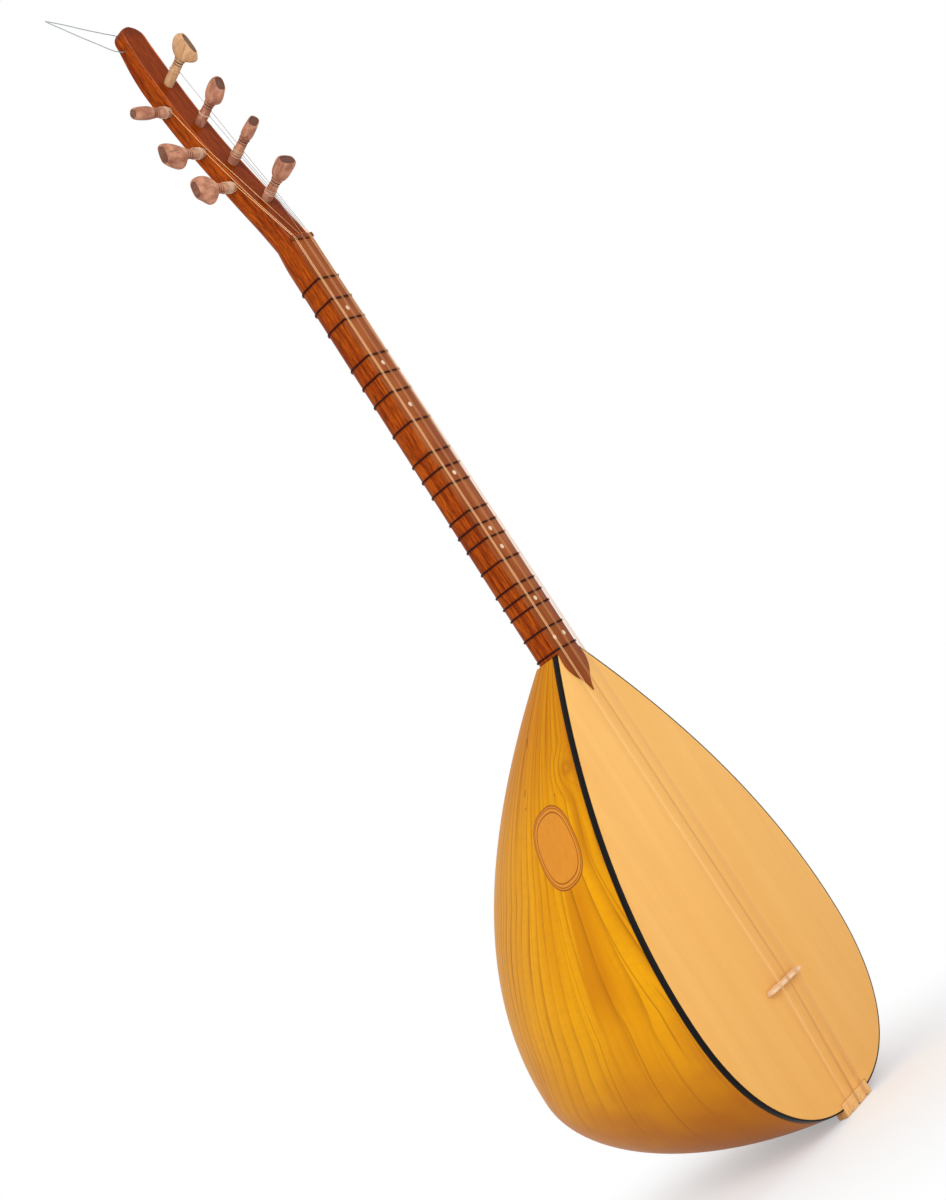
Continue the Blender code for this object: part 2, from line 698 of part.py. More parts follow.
def nut(material):
    """A small bar at the head of the fingerboard, with a groove for each course."""
    low = (-NUT_HALF_LENGTH, NUT_FRONT, NUT_Z - NUT_THICKNESS / 2)
    high = (NUT_HALF_LENGTH, -GAP, NUT_Z + NUT_THICKNESS / 2)
    bar = box("nut", low, high, material)
    clear = STRING_RADIUS + 3 * GAP
    for course in COURSES:
        low = (min(course["nut"]) - clear, NUT_FRONT - 0.001, NUT_Z - NUT_THICKNESS)
        high = (max(course["nut"]) + clear, NUT_GROOVE_FLOOR, NUT_Z + NUT_THICKNESS)
        cut(bar, box("groove", low, high))
    return bar


def bridge(material):
    """A loose arched bar on the soundboard, thinner at the top, held by the strings."""
    front = -GAP - BRIDGE_HEIGHT
    half_profile = ((0.0262, 0.35), (0.0259, 0.58), (0.0248, 0.76), (0.0225, 0.90), (0.0190, 1.0))
    foot_gap = ((0.0125, 0.0), (0.0095, 0.14), (0.0, 0.20))
    right = [(x, -GAP - BRIDGE_HEIGHT * share) for x, share in half_profile]
    foot = [(BRIDGE_HALF_LENGTH - 0.0003, -GAP)]
    under = [(x, -GAP - BRIDGE_HEIGHT * share) for x, share in foot_gap]
    half = under[::-1] + foot + right
    profile = half + [(-x, y) for x, y in reversed(half) if x > 0]
    rings = []
    for side in (-1, 1):
        ring = []
        for x, y in profile:
            share = (y + GAP) / (front + GAP)
            ring.append(Vector((x, y, BRIDGE_Z + side * between(BRIDGE_BASE, BRIDGE_TOP, share) / 2)))
        rings.append(ring)
    return loft("bridge", rings, material)


def tail_block(material):
    """A block let into the tail, with a slot in its end for each course of strings."""
    corner = 0.0030
    right = [(BLOCK_HALF_WIDTH, BLOCK_INNER)]
    for i in range(5):
        turn = pi / 2 * i / 4
        x = BLOCK_HALF_WIDTH - corner * (1 - cos(turn))
        right.append((x, BLOCK_END + corner * (1 - sin(turn))))
    outline = right + [(-x, z) for x, z in reversed(right)]
    block = plate("tail_block", outline, 0.0, BLOCK_BACK, material)
    clear = STRING_RADIUS + 2 * GAP
    for course in COURSES:
        low = (min(course["bridge"]) - clear, -0.01, BLOCK_END - 0.01)
        high = (max(course["bridge"]) + clear, BLOCK_BACK + 0.01, BLOCK_END + BLOCK_SLOT_DEPTH)
        cut(block, box("slot", low, high))
    return block


def smooth_route(points, count):
    """Points spread evenly along a smooth curve through a few chosen ones."""
    ends = [points[0] * 2 - points[1], *points, points[-1] * 2 - points[-2]]
    fine = []
    steps = 24
    for a, b, c, d in zip(ends, ends[1:], ends[2:], ends[3:]):
        for i in range(steps):
            t = i / steps
            fine.append(0.5 * (2 * b + (c - a) * t + (2 * a - 5 * b + 4 * c - d) * t**2
                               + (3 * b - a - 3 * c + d) * t**3))
    fine.append(points[-1])
    lengths = [0.0]
    for p, q in zip(fine, fine[1:]):
        lengths.append(lengths[-1] + (q - p).length)
    spread, k = [], 0
    for i in range(count):
        wanted = lengths[-1] * i / (count - 1)
        while k < len(fine) - 2 and lengths[k + 1] < wanted:
            k += 1
        share = (wanted - lengths[k]) / (lengths[k + 1] - lengths[k])
        spread.append(fine[k].lerp(fine[k + 1], min(1.0, share)))
    print(f"hanging loop: {lengths[-1] * 1000:.0f} mm long")
    return spread


def loop_route():
    """The hanging loop: out of the hole to the left and up, back behind the tip, and in again.
    Each point is an offset from the middle of the hole."""
    hole = on_head(0, HANG_HOLE_S, -HANG_HOLE_DEPTH)
    offsets = (
        (-0.0040, 0.0, 0.0), (-0.0150, 0.0, 0.0), (-0.0200, 0.0, 0.0006),
        (-0.0262, 0.0001, 0.0024), (-0.0380, 0.0007, 0.0098), (-0.0503, 0.0017, 0.0180),
        (-0.0640, 0.0028, 0.0278), (-0.0740, 0.0036, 0.0350), (-0.0722, 0.0045, 0.0362),
        (-0.0560, 0.0050, 0.0330), (-0.0366, 0.0057, 0.0283), (-0.0160, 0.0075, 0.0250),
        (0.0039, 0.0092, 0.0218), (0.0115, 0.0088, 0.0150), (0.0165, 0.0055, 0.0080),
        (0.0180, 0.0020, 0.0025), (0.0163, 0.0, 0.0002), (0.0135, 0.0, 0.0), (0.0040, 0.0, 0.0),
    )
    return [hole + Vector(offset) for offset in offsets]


def hanging_loop(material):
    return tube("hanging_loop", smooth_route(loop_route(), 64), LOOP_DIAMETER / 2, material)


def main():
    for thing in list(bpy.data.objects):
        bpy.data.objects.remove(thing, do_unlink=True)
    wood = finishes()
    bowl(wood["bowl_wood"])
    soundboard(wood["soundboard_wood"])
    for side in ("left", "right"):
        edge_binding(side, wood["binding_black"])
    for name, z in BRACE_HEIGHTS_ON_BODY.items():
        brace(name, z, wood["pale_wood"])
    neck(wood["neck_wood"])
    fingerboard(wood["fingerboard_wood"])
    for number in range(1, len(FRET_RATIOS) + 1):
        fret(number, wood["fret_line"])
    headstock(wood["neck_wood"])
    for name in PEG_PLACES:
        peg(name, wood["peg_wood"])
        winding(name, wood["string_steel"])
    strings(wood["string_steel"])
    nut(wood["pale_wood"])
    bridge(wood["pale_wood"])
    tail_block(wood["pale_wood"])
    hanging_loop(wood["loop_line"])


main()
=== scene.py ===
"""The looks of a short-neck saz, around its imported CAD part.

The frame is the part's own: +Z runs up the neck, the soundboard's front is the plane y = 0 and
faces -Y, and +X is the right of someone who looks at the front. All sizes are in metres.
"""

from collections import namedtuple
from functools import partialmethod
from math import asin, cos, pi, radians, sin, sqrt

import bpy
from mathutils import Matrix, Vector


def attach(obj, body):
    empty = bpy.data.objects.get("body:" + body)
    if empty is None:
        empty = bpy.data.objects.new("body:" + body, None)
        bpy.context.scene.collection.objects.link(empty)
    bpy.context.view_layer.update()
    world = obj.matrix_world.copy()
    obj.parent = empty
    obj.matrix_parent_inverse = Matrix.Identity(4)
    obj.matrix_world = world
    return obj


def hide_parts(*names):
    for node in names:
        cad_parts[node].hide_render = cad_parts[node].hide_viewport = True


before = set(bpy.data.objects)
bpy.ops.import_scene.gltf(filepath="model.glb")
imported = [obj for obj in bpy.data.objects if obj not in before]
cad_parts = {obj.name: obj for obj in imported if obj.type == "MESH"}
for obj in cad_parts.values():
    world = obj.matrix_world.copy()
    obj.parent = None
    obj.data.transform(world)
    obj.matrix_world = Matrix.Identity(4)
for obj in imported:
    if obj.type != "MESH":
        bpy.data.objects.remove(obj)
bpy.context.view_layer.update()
bpy.ops.object.select_all(action="DESELECT")

# Body
BODY_LENGTH = 0.42
BODY_DEPTH = 0.255
HALF_WIDTH = 0.1235
WIDEST_Z = 0.1357
TAIL_POWER = 2.28
JOINT_HALF_WIDTH = 0.0155
OUTLINE_FLARE = 0.114
DEEPEST_Z = 0.1119
DEPTH_TAIL_POWER = 1.94
JOINT_DEPTH = 0.0345
SECTION_POWER = 2.21
WALL = 0.007
SOUND_HOLE_RADIUS = 0.007
SOUND_HOLE_DEPTH = 0.045
SOUNDBOARD_THICKNESS = 0.003
BINDING_WIDTH = 0.0012
BINDING_HEIGHT = 0.0055
BINDING_ROUNDING = 0.0004
GAP = 0.0003

# Neck, from its joint with the body to the nut
SCALE_LENGTH = 0.711
NUT_Z = BODY_LENGTH + 0.0035 + SCALE_LENGTH * 5 / 9
BRIDGE_Z = NUT_Z - SCALE_LENGTH
NECK_HALF_WIDTH = {"joint": 0.014, "nut": 0.013}
NECK_DEPTH = {"joint": 0.0285, "nut": 0.0265}
NECK_EDGE_RADIUS = 0.001
NECK_SHAFT_TOP = NUT_Z - 0.018
FINGERBOARD_FRONT = -0.0015

# The fingerboard's end on the soundboard: half width and distance below the neck joint
LEAF = (
    (0.014, -0.004), (0.0142, 0.001), (0.0151, 0.007), (0.0148, 0.0125), (0.013, 0.0175),
    (0.0098, 0.0225), (0.0062, 0.0265), (0.003, 0.031), (0.0011, 0.0352), (0, 0.0385),
)
DOT_RADIUS = 0.002
SINGLE_DOTS = (0.749, 0.6956, 0.655, 0.589, 0.5354, 0.518, 0.4686)
PAIRED_DOTS = {"x": 0.0068, "z": 0.4334}
FRET_RATIOS = (
    17 / 18, 11 / 12, 8 / 9, 68 / 81, 22 / 27, 64 / 81, 3 / 4, 17 / 24, 11 / 16, 2 / 3,
    17 / 27, 11 / 18, 16 / 27, 9 / 16, 17 / 32, 33 / 64, 1 / 2, 17 / 36, 4 / 9,
)
FRET_WIDTH = 0.002
FRET_THICKNESS = 0.0007

# Headstock: s is the distance along it from the nut
HEAD_ANGLE = radians(11.5)
HEAD_CURVE_S = 0.08
HEAD_LENGTH = 0.2375
HEAD_CURVE_RADIUS = (HEAD_LENGTH - HEAD_CURVE_S) / HEAD_ANGLE
HEAD_HALF_WIDTH = 0.0147
HEAD_THICKNESS = {"nut": 0.025, "middle": 0.0175, "tip": 0.013}
HEAD_ROUND_S = 0.2275
SPLICE_S = 0.006
HANG_HOLE_S = 0.218
HANG_HOLE_DEPTH = 0.0068
HANG_HOLE_RADIUS = 0.0013
LOOP_DIAMETER = 0.0008

# Pegs, each at its s
PEG_PLACES = {
    "front_1": 0.178, "front_2": 0.134, "front_3": 0.0895, "front_4": 0.0455,
    "side_1": 0.1535, "side_2": 0.108, "side_3": 0.068,
}
FRONT_PEG_X = 0.0015
SIDE_PEG_DEPTH = 0.0056
PEG_SHAFT_RADIUS = 0.0046
PEG_INNER_RADIUS = 0.0038
PEG_COLLAR_RADIUS = 0.0042
PEG_SUNK_END = 0.0008
BORE_CLEARANCE = 0.0002
FRONT_PEG_LEAN = radians(14)
SIDE_PEG_LEAN = radians(3)
PEG_TURN = {
    "front_1": 9, "front_2": -15, "front_3": 122, "front_4": 70,
    "side_1": 49, "side_2": -41, "side_3": -30,
}

# The rings of a peg's inner end: height from it, size and darkness
PEG_TIP_RINGS = ((0, 0.84, 0.5), (0.0003, 0.96, 0.2), (0.001, 1, 0))

# The turned rings below a peg's head: height from the collar, size and darkness; the darkness of
# the narrow rings is painted shade in the collar's grooves
PEG_COLLAR_RINGS = (
    (-0.0062, 1, 0), (-0.0042, 1, 0), (-0.0038, 0.93, 0.7), (-0.0032, 0.93, 0.7),
    (-0.0028, 1.01, 0), (-0.0018, 1.02, 0), (-0.0014, 0.91, 1), (-0.0006, 0.91, 1),
    (-0.0003, 1.13, 0), (0.0008, 1.15, 0), (0.0011, 1.02, 0.8), (0.0016, 1.04, 0.3),
)

# The rings that round off a peg's outer end: depth below it, size, squareness and darkness
PEG_END_RINGS = (
    (0.0006, 1.03, 0.75, 0), (0.0001, 0.99, 0.75, 0), (0, 0.93, 0.7, 0.1),
    (0.0003, 0.88, 0.7, 1), (0.0003, 0.4, 0.5, 0.9),
)

# Each peg's head: its collar's height, its reach, how far its end's face is turned in degrees, and
# its rings. A ring has its share of the head's length and, in millimetres, its width to either side
# of the peg's axis and its half thickness.
PEG_HEADS = {
    "front_1": (0.0235, 0.0416, -17, (
        (0.06, 6.2, 6, 4.6), (0.16, 8.8, 8.6, 5), (0.28, 10.4, 12.2, 5.4), (0.44, 12, 13.6, 5.6),
        (0.62, 13, 13.6, 5.4), (0.8, 12.4, 12.4, 4.8), (1, 8.6, 11.2, 3.4))),
    "front_2": (0.0205, 0.0412, -22, (
        (0.05, 5.4, 5.7, 4.6), (0.14, 6.4, 7.4, 5.2), (0.26, 7.8, 9.2, 5.8), (0.45, 8.8, 9.3, 6),
        (0.65, 9, 8.6, 5.8), (0.82, 8.2, 7.8, 5.4), (1, 5.8, 6.8, 4.8))),
    "front_3": (0.0235, 0.0416, 12, (
        (0.06, 5, 5, 4.5), (0.16, 6.2, 6.2, 5.1), (0.32, 8.6, 8.6, 5.4), (0.52, 9.6, 9.6, 5.3),
        (0.74, 9, 9, 5), (0.88, 8, 8, 4.8), (1, 6.6, 6.6, 4.4))),
    "front_4": (0.0195, 0.0404, 10, (
        (0.06, 5.2, 5.2, 5), (0.16, 6.4, 6.4, 5.6), (0.32, 7.6, 7.4, 6), (0.54, 8, 7.6, 6.3),
        (0.76, 8.4, 7.8, 6.4), (0.9, 8.3, 7.6, 6.2), (1, 7.6, 7, 5.6))),
    "side_1": (0.018, 0.0405, 16, (
        (0.05, 5, 5, 4.8), (0.16, 6.8, 6.8, 5.4), (0.34, 9.2, 9.2, 5.7), (0.55, 9.8, 9.8, 5.6),
        (0.75, 9, 9, 5.2), (0.9, 7.4, 7.4, 4.6), (1, 5.2, 5.2, 3.6))),
    "side_2": (0.019, 0.0445, -16, (
        (0.05, 5.2, 6.4, 4.8), (0.12, 6, 9.6, 5.3), (0.24, 6.8, 12.2, 5.6), (0.42, 8, 11.8, 5.8),
        (0.62, 9.2, 10.4, 5.9), (0.8, 9.6, 9.2, 5.7), (0.92, 9.2, 8, 5.3), (1, 8.2, 7, 4.7))),
    "side_3": (0.019, 0.043, -10, (
        (0.05, 5.8, 6.4, 4.8), (0.14, 7.6, 8.8, 5.3), (0.28, 9.8, 12, 5.6), (0.44, 11, 13.1, 5.8),
        (0.62, 11.4, 10.8, 5.8), (0.8, 10.6, 8.8, 5.4), (0.92, 9.4, 7.8, 5), (1, 7.8, 6.8, 4.3))),
}

# Strings: each course's peg names and places across the nut and the bridge, and how far up the
# headstock a string from the side rests on the edge of its face
STRING_RADIUS = 0.0002
COURSES = (
    {"pegs": ("side_3", "side_2"), "nut": (-0.0116, -0.0099), "bridge": (-0.0146, -0.0129)},
    {"pegs": ("side_1", "front_4"), "nut": (-0.0016, 0.0001), "bridge": (-0.0016, 0.0001)},
    {
        "pegs": ("front_3", "front_2", "front_1"),
        "nut": (0.007, 0.0084, 0.0098),
        "bridge": (0.012, 0.0137, 0.0154),
    },
)
RIDGE_REST = {"side_1": 0.108, "side_2": 0.058}
WINDING_WIRE = 0.00025
WINDING_POINTS = 24
# How many turns of a winding lie below each height on its peg
WINDING_TURNS = {
    "front_1": ((0, 0.013), (2, 0.0142)),
    "front_2": ((0, 0.0095), (3, 0.0112)),
    "front_3": ((0, 0.007), (1, 0.0074), (2, 0.0112), (5, 0.0134)),
    "front_4": ((0, 0.006), (2, 0.0072), (4, 0.0105)),
    "side_1": ((0, 0.004), (4, 0.0072), (6, 0.011)),
    "side_2": ((0, 0.0035), (6, 0.0075), (9, 0.012)),
    "side_3": ((0, 0.003), (9, 0.009), (12, 0.0128)),
}

# Nut, bridge and tail block
NUT_HALF_LENGTH = 0.013
NUT_THICKNESS = 0.004
NUT_FRONT = -0.0034
STRING_AT_NUT = -0.0031
BRIDGE_HALF_LENGTH = 0.0262
BRIDGE_STRAIGHT = 0.019
BRIDGE_ARCH = 0.0125
BRIDGE_HEIGHT = 0.0068
BRIDGE_BASE = 0.0056
BRIDGE_TOP = 0.0026
BLOCK_HALF_WIDTH = 0.023
BLOCK_END = -0.005
BLOCK_INNER = 0.006
BLOCK_BACK = 0.0095
BLOCK_SLOT_DEPTH = 0.0015

# Label, an oval that lies on the bowl's left flank
LABEL_CENTRE = Vector((-0.0862, 0.0486, 0.2925))
LABEL_NORMAL = Vector((-0.903, 0.084, 0.42)).normalized()
LABEL_HALF_LENGTH = 0.0347
LABEL_HALF_WIDTH = 0.024
LABEL_TILT = radians(10.4)

# The bowl's grain spreads below one height and runs straight on below another
GRAIN_SPREAD_Z = 0.27
GRAIN_BREAK_Z = 0.15
KNOT = (-0.0648, 0.0147, 0.3408)

# Single dark lines in the grain: place across it, lowest and highest point, half width and strength
GRAIN_LINES = (
    (0.9328, 0.03, 0.172, 0.0012, 0.42),
    (0.906, 0.05, 0.265, 0.0009, 0.4),
    (0.9585, 0.1, 0.285, 0.0009, 0.5),
    (0.95, 0.045, 0.15, 0.001, 0.3),
    (0.966, 0.06, 0.18, 0.0009, 0.3),
    (0.9795, 0.165, 0.29, 0.001, 0.45),
    (0.902, 0.28, 0.4, 0.001, 0.4),
    (0.961, 0.335, 0.415, 0.0011, 0.5),
    (0.848, 0.13, 0.385, 0.0009, 0.3),
)

# Short dark dashes on the bowl's left: place behind the soundboard, height, length and slant
BOWL_DASHES = (
    (0.0548, 0.3747, 0.004, 0.3),
    (0.0699, 0.3416, 0.003, 0.45),
    (0.0731, 0.3309, 0.0011, 0.2),
    (0.0344, 0.3277, 0.0009, 0.2),
)

# Lamps: place, size and power
LAMPS = {
    "key": ((-1.3, -2.1, 1.7), (1.6, 1.6), 39),
    "fill": ((-2.2, 0.4, 0.9), (1.4, 1.8), 12),
    "edge": ((1.6, -1.2, 1.4), (1, 1.4), 7),
}
LIT_POINT = Vector((0, 0.05, 0.4))
ROOM_LIGHT = 0.55
FLOOR_WHITE = (0.9, 0.9, 0.91, 1)
WHITE = (1, 1, 1, 1)


def ease(t):
    t = min(1, max(0, t))
    return t * t * (3 - 2 * t)


def between(start, end, share):
    return start + (end - start) * share


def signed(share, power):
    """A number raised to a power, with its sign kept."""
    return (1 if share > 0 else -1) * abs(share) ** power


def head_lean(s):
    """How far the headstock leans back at a place along it."""
    return HEAD_ANGLE - max(0, s - HEAD_CURVE_S) / HEAD_CURVE_RADIUS


def head_up(s):
    return Vector((0, sin(head_lean(s)), cos(head_lean(s))))


def head_back(s):
    return Vector((0, cos(head_lean(s)), -sin(head_lean(s))))


def on_head(x, s, height):
    """A place on the headstock: across, along it from the nut, and out from its face."""
    straight, lean = min(s, HEAD_CURVE_S), head_lean(s)
    y = straight * sin(HEAD_ANGLE) + HEAD_CURVE_RADIUS * (cos(lean) - cos(HEAD_ANGLE))
    z = straight * cos(HEAD_ANGLE) + HEAD_CURVE_RADIUS * (sin(HEAD_ANGLE) - sin(lean))
    return Vector((x, y, NUT_Z + z)) - head_back(s) * height


def head_half_width(s):
    flared = between(NECK_HALF_WIDTH["nut"], HEAD_HALF_WIDTH, ease((s - 0.022) / 0.033))
    drawn_in = 0.0009 * ease((s - 0.2) / 0.026)
    round_share = max(0, (s - HEAD_ROUND_S) / (HEAD_LENGTH - HEAD_ROUND_S))
    return (flared - drawn_in) * sqrt(max(0, 1 - round_share**2))


def head_thickness(s):
    nut, middle, tip = HEAD_THICKNESS.values()
    thinned = between(nut, middle, ease((s + 0.02) / 0.115))
    return thinned - (middle - tip) * ease((s - 0.18) / (HEAD_LENGTH - 0.18))


def tail_share(z, full_z, power):
    """How much of its full size the body has at a height in its rounded tail."""
    return max(0, 1 - (1 - min(z, full_z) / full_z) ** power) ** (1 / power)


def neckward(z, full_z):
    """0 where the body has its full size and 1 at the neck joint."""
    return max(0, z - full_z) / (BODY_LENGTH - full_z)


def body_half_width(z):
    if z < WIDEST_Z:
        return HALF_WIDTH * tail_share(z, WIDEST_Z, TAIL_POWER)
    t = neckward(z, WIDEST_Z)
    drop = 1 + OUTLINE_FLARE - JOINT_HALF_WIDTH / HALF_WIDTH
    return HALF_WIDTH * (1 - drop * t**2 + OUTLINE_FLARE * t**3)


def body_depth(z):
    if z < DEEPEST_Z:
        return BODY_DEPTH * tail_share(z, DEEPEST_Z, DEPTH_TAIL_POWER)
    return BODY_DEPTH * (1 - (1 - JOINT_DEPTH / BODY_DEPTH) * neckward(z, DEEPEST_Z) ** 2)


def body_edge(share, inset):
    """A place on the right half of the body's edge, from the neck joint at 0 round to the tail at
    1, moved in along the edge's normal."""
    flank = 0.62

    def on_edge(part):
        if part < flank:
            z = BODY_LENGTH - (BODY_LENGTH - WIDEST_Z) * part / flank
            return Vector((body_half_width(z), z))
        turn = pi / 2 * (part - flank) / (1 - flank)
        sideways = max(0, cos(turn)) ** (2 / TAIL_POWER)
        return Vector((HALF_WIDTH * sideways, WIDEST_Z * (1 - sin(turn) ** (2 / TAIL_POWER))))

    here = on_edge(share)
    along = (here - on_edge(share - 0.0005)).normalized()
    return here + Vector((along.y, -along.x)) * inset


def neck_size(z):
    """The neck's half width and its depth at a height."""
    share = (z - BODY_LENGTH) / (NUT_Z - BODY_LENGTH)
    return between(*NECK_HALF_WIDTH.values(), share), between(*NECK_DEPTH.values(), share)


def bar_section(half_width, depth, edge, back):
    """A flat front, straight sides and a rounded back, as (across, back) pairs that start in the
    middle of the front and go round by the right."""
    right = [((half_width - edge) * share, 0) for share in (0, 0.35, 0.7, 0.93)]
    for i in range(5):
        turn = pi / 2 * i / 4
        right.append((half_width - edge * (1 - sin(turn)), edge * (1 - cos(turn))))
    straight = depth - back - edge
    right += [(half_width, edge + straight * share) for share in (0.08, 0.5, 0.92)]
    for i in range(13):
        turn = pi / 2 * i / 12
        right.append((half_width - back * (1 - cos(turn)), depth - back * (1 - sin(turn))))
    return right + [(0, depth)] + [(-x, y) for x, y in reversed(right[1:])]


SECTION_POINTS = len(bar_section(0.013, 0.025, 0.001, 0.012))


def head_section(s):
    half_width = head_half_width(s)
    square = ease(s / 0.09)
    edge = min(between(NECK_EDGE_RADIUS, 0.0018, square), half_width * 0.5)
    back = min(between(half_width - 0.0004, 0.0042, square), half_width - 0.0002)
    return bar_section(half_width, head_thickness(s), edge, back)


def neck_section(z):
    half_width, depth = neck_size(z)
    return bar_section(half_width, depth, NECK_EDGE_RADIUS, half_width - 0.0004)


def round_at(section, share):
    """A closed section's point at a share of the way round it."""
    return section[round(share * len(section)) % len(section)]


def only(thing):
    """Makes one object the selected and active one."""
    bpy.ops.object.select_all(action="DESELECT")
    thing.select_set(True)
    bpy.context.view_layer.objects.active = thing
    return thing


def named(name):
    """The object that was made last, under its name."""
    thing = bpy.context.object
    thing.name = thing.data.name = name
    return thing


def linked(name, data):
    """A new object in the scene that shows a curve, a lamp or a camera."""
    thing = bpy.data.objects.new(name, data)
    bpy.context.scene.collection.objects.link(thing)
    return thing


def apply(thing, kind, **settings):
    """Adds a modifier to an object and applies it."""
    only(thing)
    modifier = thing.modifiers.new(kind, kind)
    for name, value in settings.items():
        setattr(modifier, name, value)
    bpy.ops.object.modifier_apply(modifier=modifier.name)
    return thing


def cut(thing, *tools):
    """Cuts tools out of a solid and removes them."""
    for tool in tools:
        apply(thing, "BOOLEAN", operation="DIFFERENCE", object=tool, solver="EXACT")
        bpy.data.objects.remove(tool, do_unlink=True)
    return thing


def smooth(thing, degrees=35):
    only(thing)
    bpy.ops.object.shade_smooth_by_angle(angle=radians(degrees))
    return thing


def edited(thing, *operators):
    """Runs edit operators on all of an object's mesh."""
    only(thing)
    bpy.ops.object.mode_set(mode="EDIT")
    bpy.ops.mesh.select_all(action="SELECT")
    for operator in operators:
        operator()
    bpy.ops.mesh.select_all(action="SELECT")
    bpy.ops.mesh.normals_make_consistent(inside=False)
    bpy.ops.object.mode_set(mode="OBJECT")
    return thing


def wrapped(name, around, along, place, mark=None):
    """A grid laid on a shape by place(u, v), with u and v from 0 to 1. Edges that meet are joined,
    and mark(u, v) gives the UV where the grid's own isn't wanted."""
    bpy.ops.mesh.primitive_grid_add(x_subdivisions=around, y_subdivisions=along, size=2)
    thing = named(name)
    mesh = thing.data
    spots = [((vertex.co.x + 1) / 2, (vertex.co.y + 1) / 2) for vertex in mesh.vertices]
    for vertex, (u, v) in zip(mesh.vertices, spots):
        vertex.co = place(u, v)
    if mark:
        layer = mesh.uv_layers.active.data
        for loop in mesh.loops:
            layer[loop.index].uv = mark(*spots[loop.vertex_index])

    def close():
        bpy.ops.mesh.remove_doubles(threshold=1e-6)
        bpy.ops.mesh.select_all(action="SELECT")
        bpy.ops.mesh.dissolve_degenerate(threshold=1e-7)

    return edited(thing, close)


def fill_ends():
    bpy.ops.mesh.select_all(action="DESELECT")
    bpy.ops.mesh.select_non_manifold(extend=False)
    bpy.ops.mesh.edge_face_add()


def plate(name, outline, front, back):
    """A flat plate with an outline of (x, z) points between two planes of constant y."""
    bpy.ops.mesh.primitive_circle_add(vertices=len(outline), radius=1, fill_type="NGON")
    thing = named(name)
    for vertex, (x, z) in zip(thing.data.vertices, outline):
        vertex.co = (x, back, z)
    shift = {"value": (0, front - back, 0)}
    edited(thing, lambda: bpy.ops.mesh.extrude_region_move(TRANSFORM_OT_translate=shift))
    apply(thing, "BEVEL", width=0.0003, segments=2, limit_method="ANGLE", angle_limit=radians(50))
    return smooth(thing)


def block(name, low, high, rounding=0, segments=3):
    """A box between its lowest and its highest corner, with its edges rounded."""
    bpy.ops.mesh.primitive_cube_add(size=1)
    thing = named(name)
    low, high = Vector(low), Vector(high)
    for vertex in thing.data.vertices:
        vertex.co = [(a + b) / 2 + c * (b - a) for a, b, c in zip(low, high, vertex.co)]
    if rounding:
        apply(thing, "BEVEL", width=rounding, segments=segments)
        smooth(thing)
    return thing


def rod(name, start, end, radius, sides=32, end_radius=None):
    """A round rod between two points, tapered where it is given a radius for its end."""
    bpy.ops.mesh.primitive_cone_add(vertices=sides, radius1=radius, radius2=end_radius or radius,
                                    depth=(end - start).length)
    thing = named(name)
    turn = (end - start).to_track_quat("Z", "Y").to_matrix().to_4x4()
    thing.data.transform(Matrix.Translation((start + end) / 2) @ turn)
    return thing


def joined(name, things):
    """Several objects made into one."""
    only(things[0])
    for thing in things:
        thing.select_set(True)
    bpy.ops.object.join()
    return named(name)


def line(name, points, radius, resolution=3):
    """A round line through points, as a curve with closed ends."""
    curve = bpy.data.curves.new(name, "CURVE")
    curve.dimensions = "3D"
    curve.bevel_depth = radius
    curve.bevel_resolution = resolution
    curve.use_fill_caps = True
    spline = curve.splines.new("POLY")
    spline.points.add(len(points) - 1)
    for slot, point in zip(spline.points, points):
        slot.co = (*point, 1)
    return linked(name, curve)


def as_mesh(thing):
    only(thing)
    bpy.ops.object.convert(target="MESH")
    bpy.ops.object.shade_smooth()
    return bpy.context.object


def smooth_route(points, count):
    """Points spread evenly along a smooth curve through a few chosen ones."""
    ends = [points[0] * 2 - points[1], *points, points[-1] * 2 - points[-2]]
    fine = []
    steps = 24
    for a, b, c, d in zip(ends, ends[1:], ends[2:], ends[3:]):
        for i in range(steps):
            t = i / steps
            fine.append(0.5 * (2 * b + (c - a) * t + (2 * a - 5 * b + 4 * c - d) * t**2
                               + (3 * b - a - 3 * c + d) * t**3))
    fine.append(points[-1])
    lengths = [0]
    for p, q in zip(fine, fine[1:]):
        lengths.append(lengths[-1] + (q - p).length)
    spread, k = [], 0
    for i in range(count):
        wanted = lengths[-1] * i / (count - 1)
        while k < len(fine) - 2 and lengths[k + 1] < wanted:
            k += 1
        share = (wanted - lengths[k]) / (lengths[k + 1] - lengths[k])
        spread.append(fine[k].lerp(fine[k + 1], min(1, share)))
    return spread


# A ring of a turned piece: half sizes, how far it is moved along its width, how square and how dark
Ring = namedtuple("Ring", "height width thickness shift square tone", defaults=(0, 0, 0))


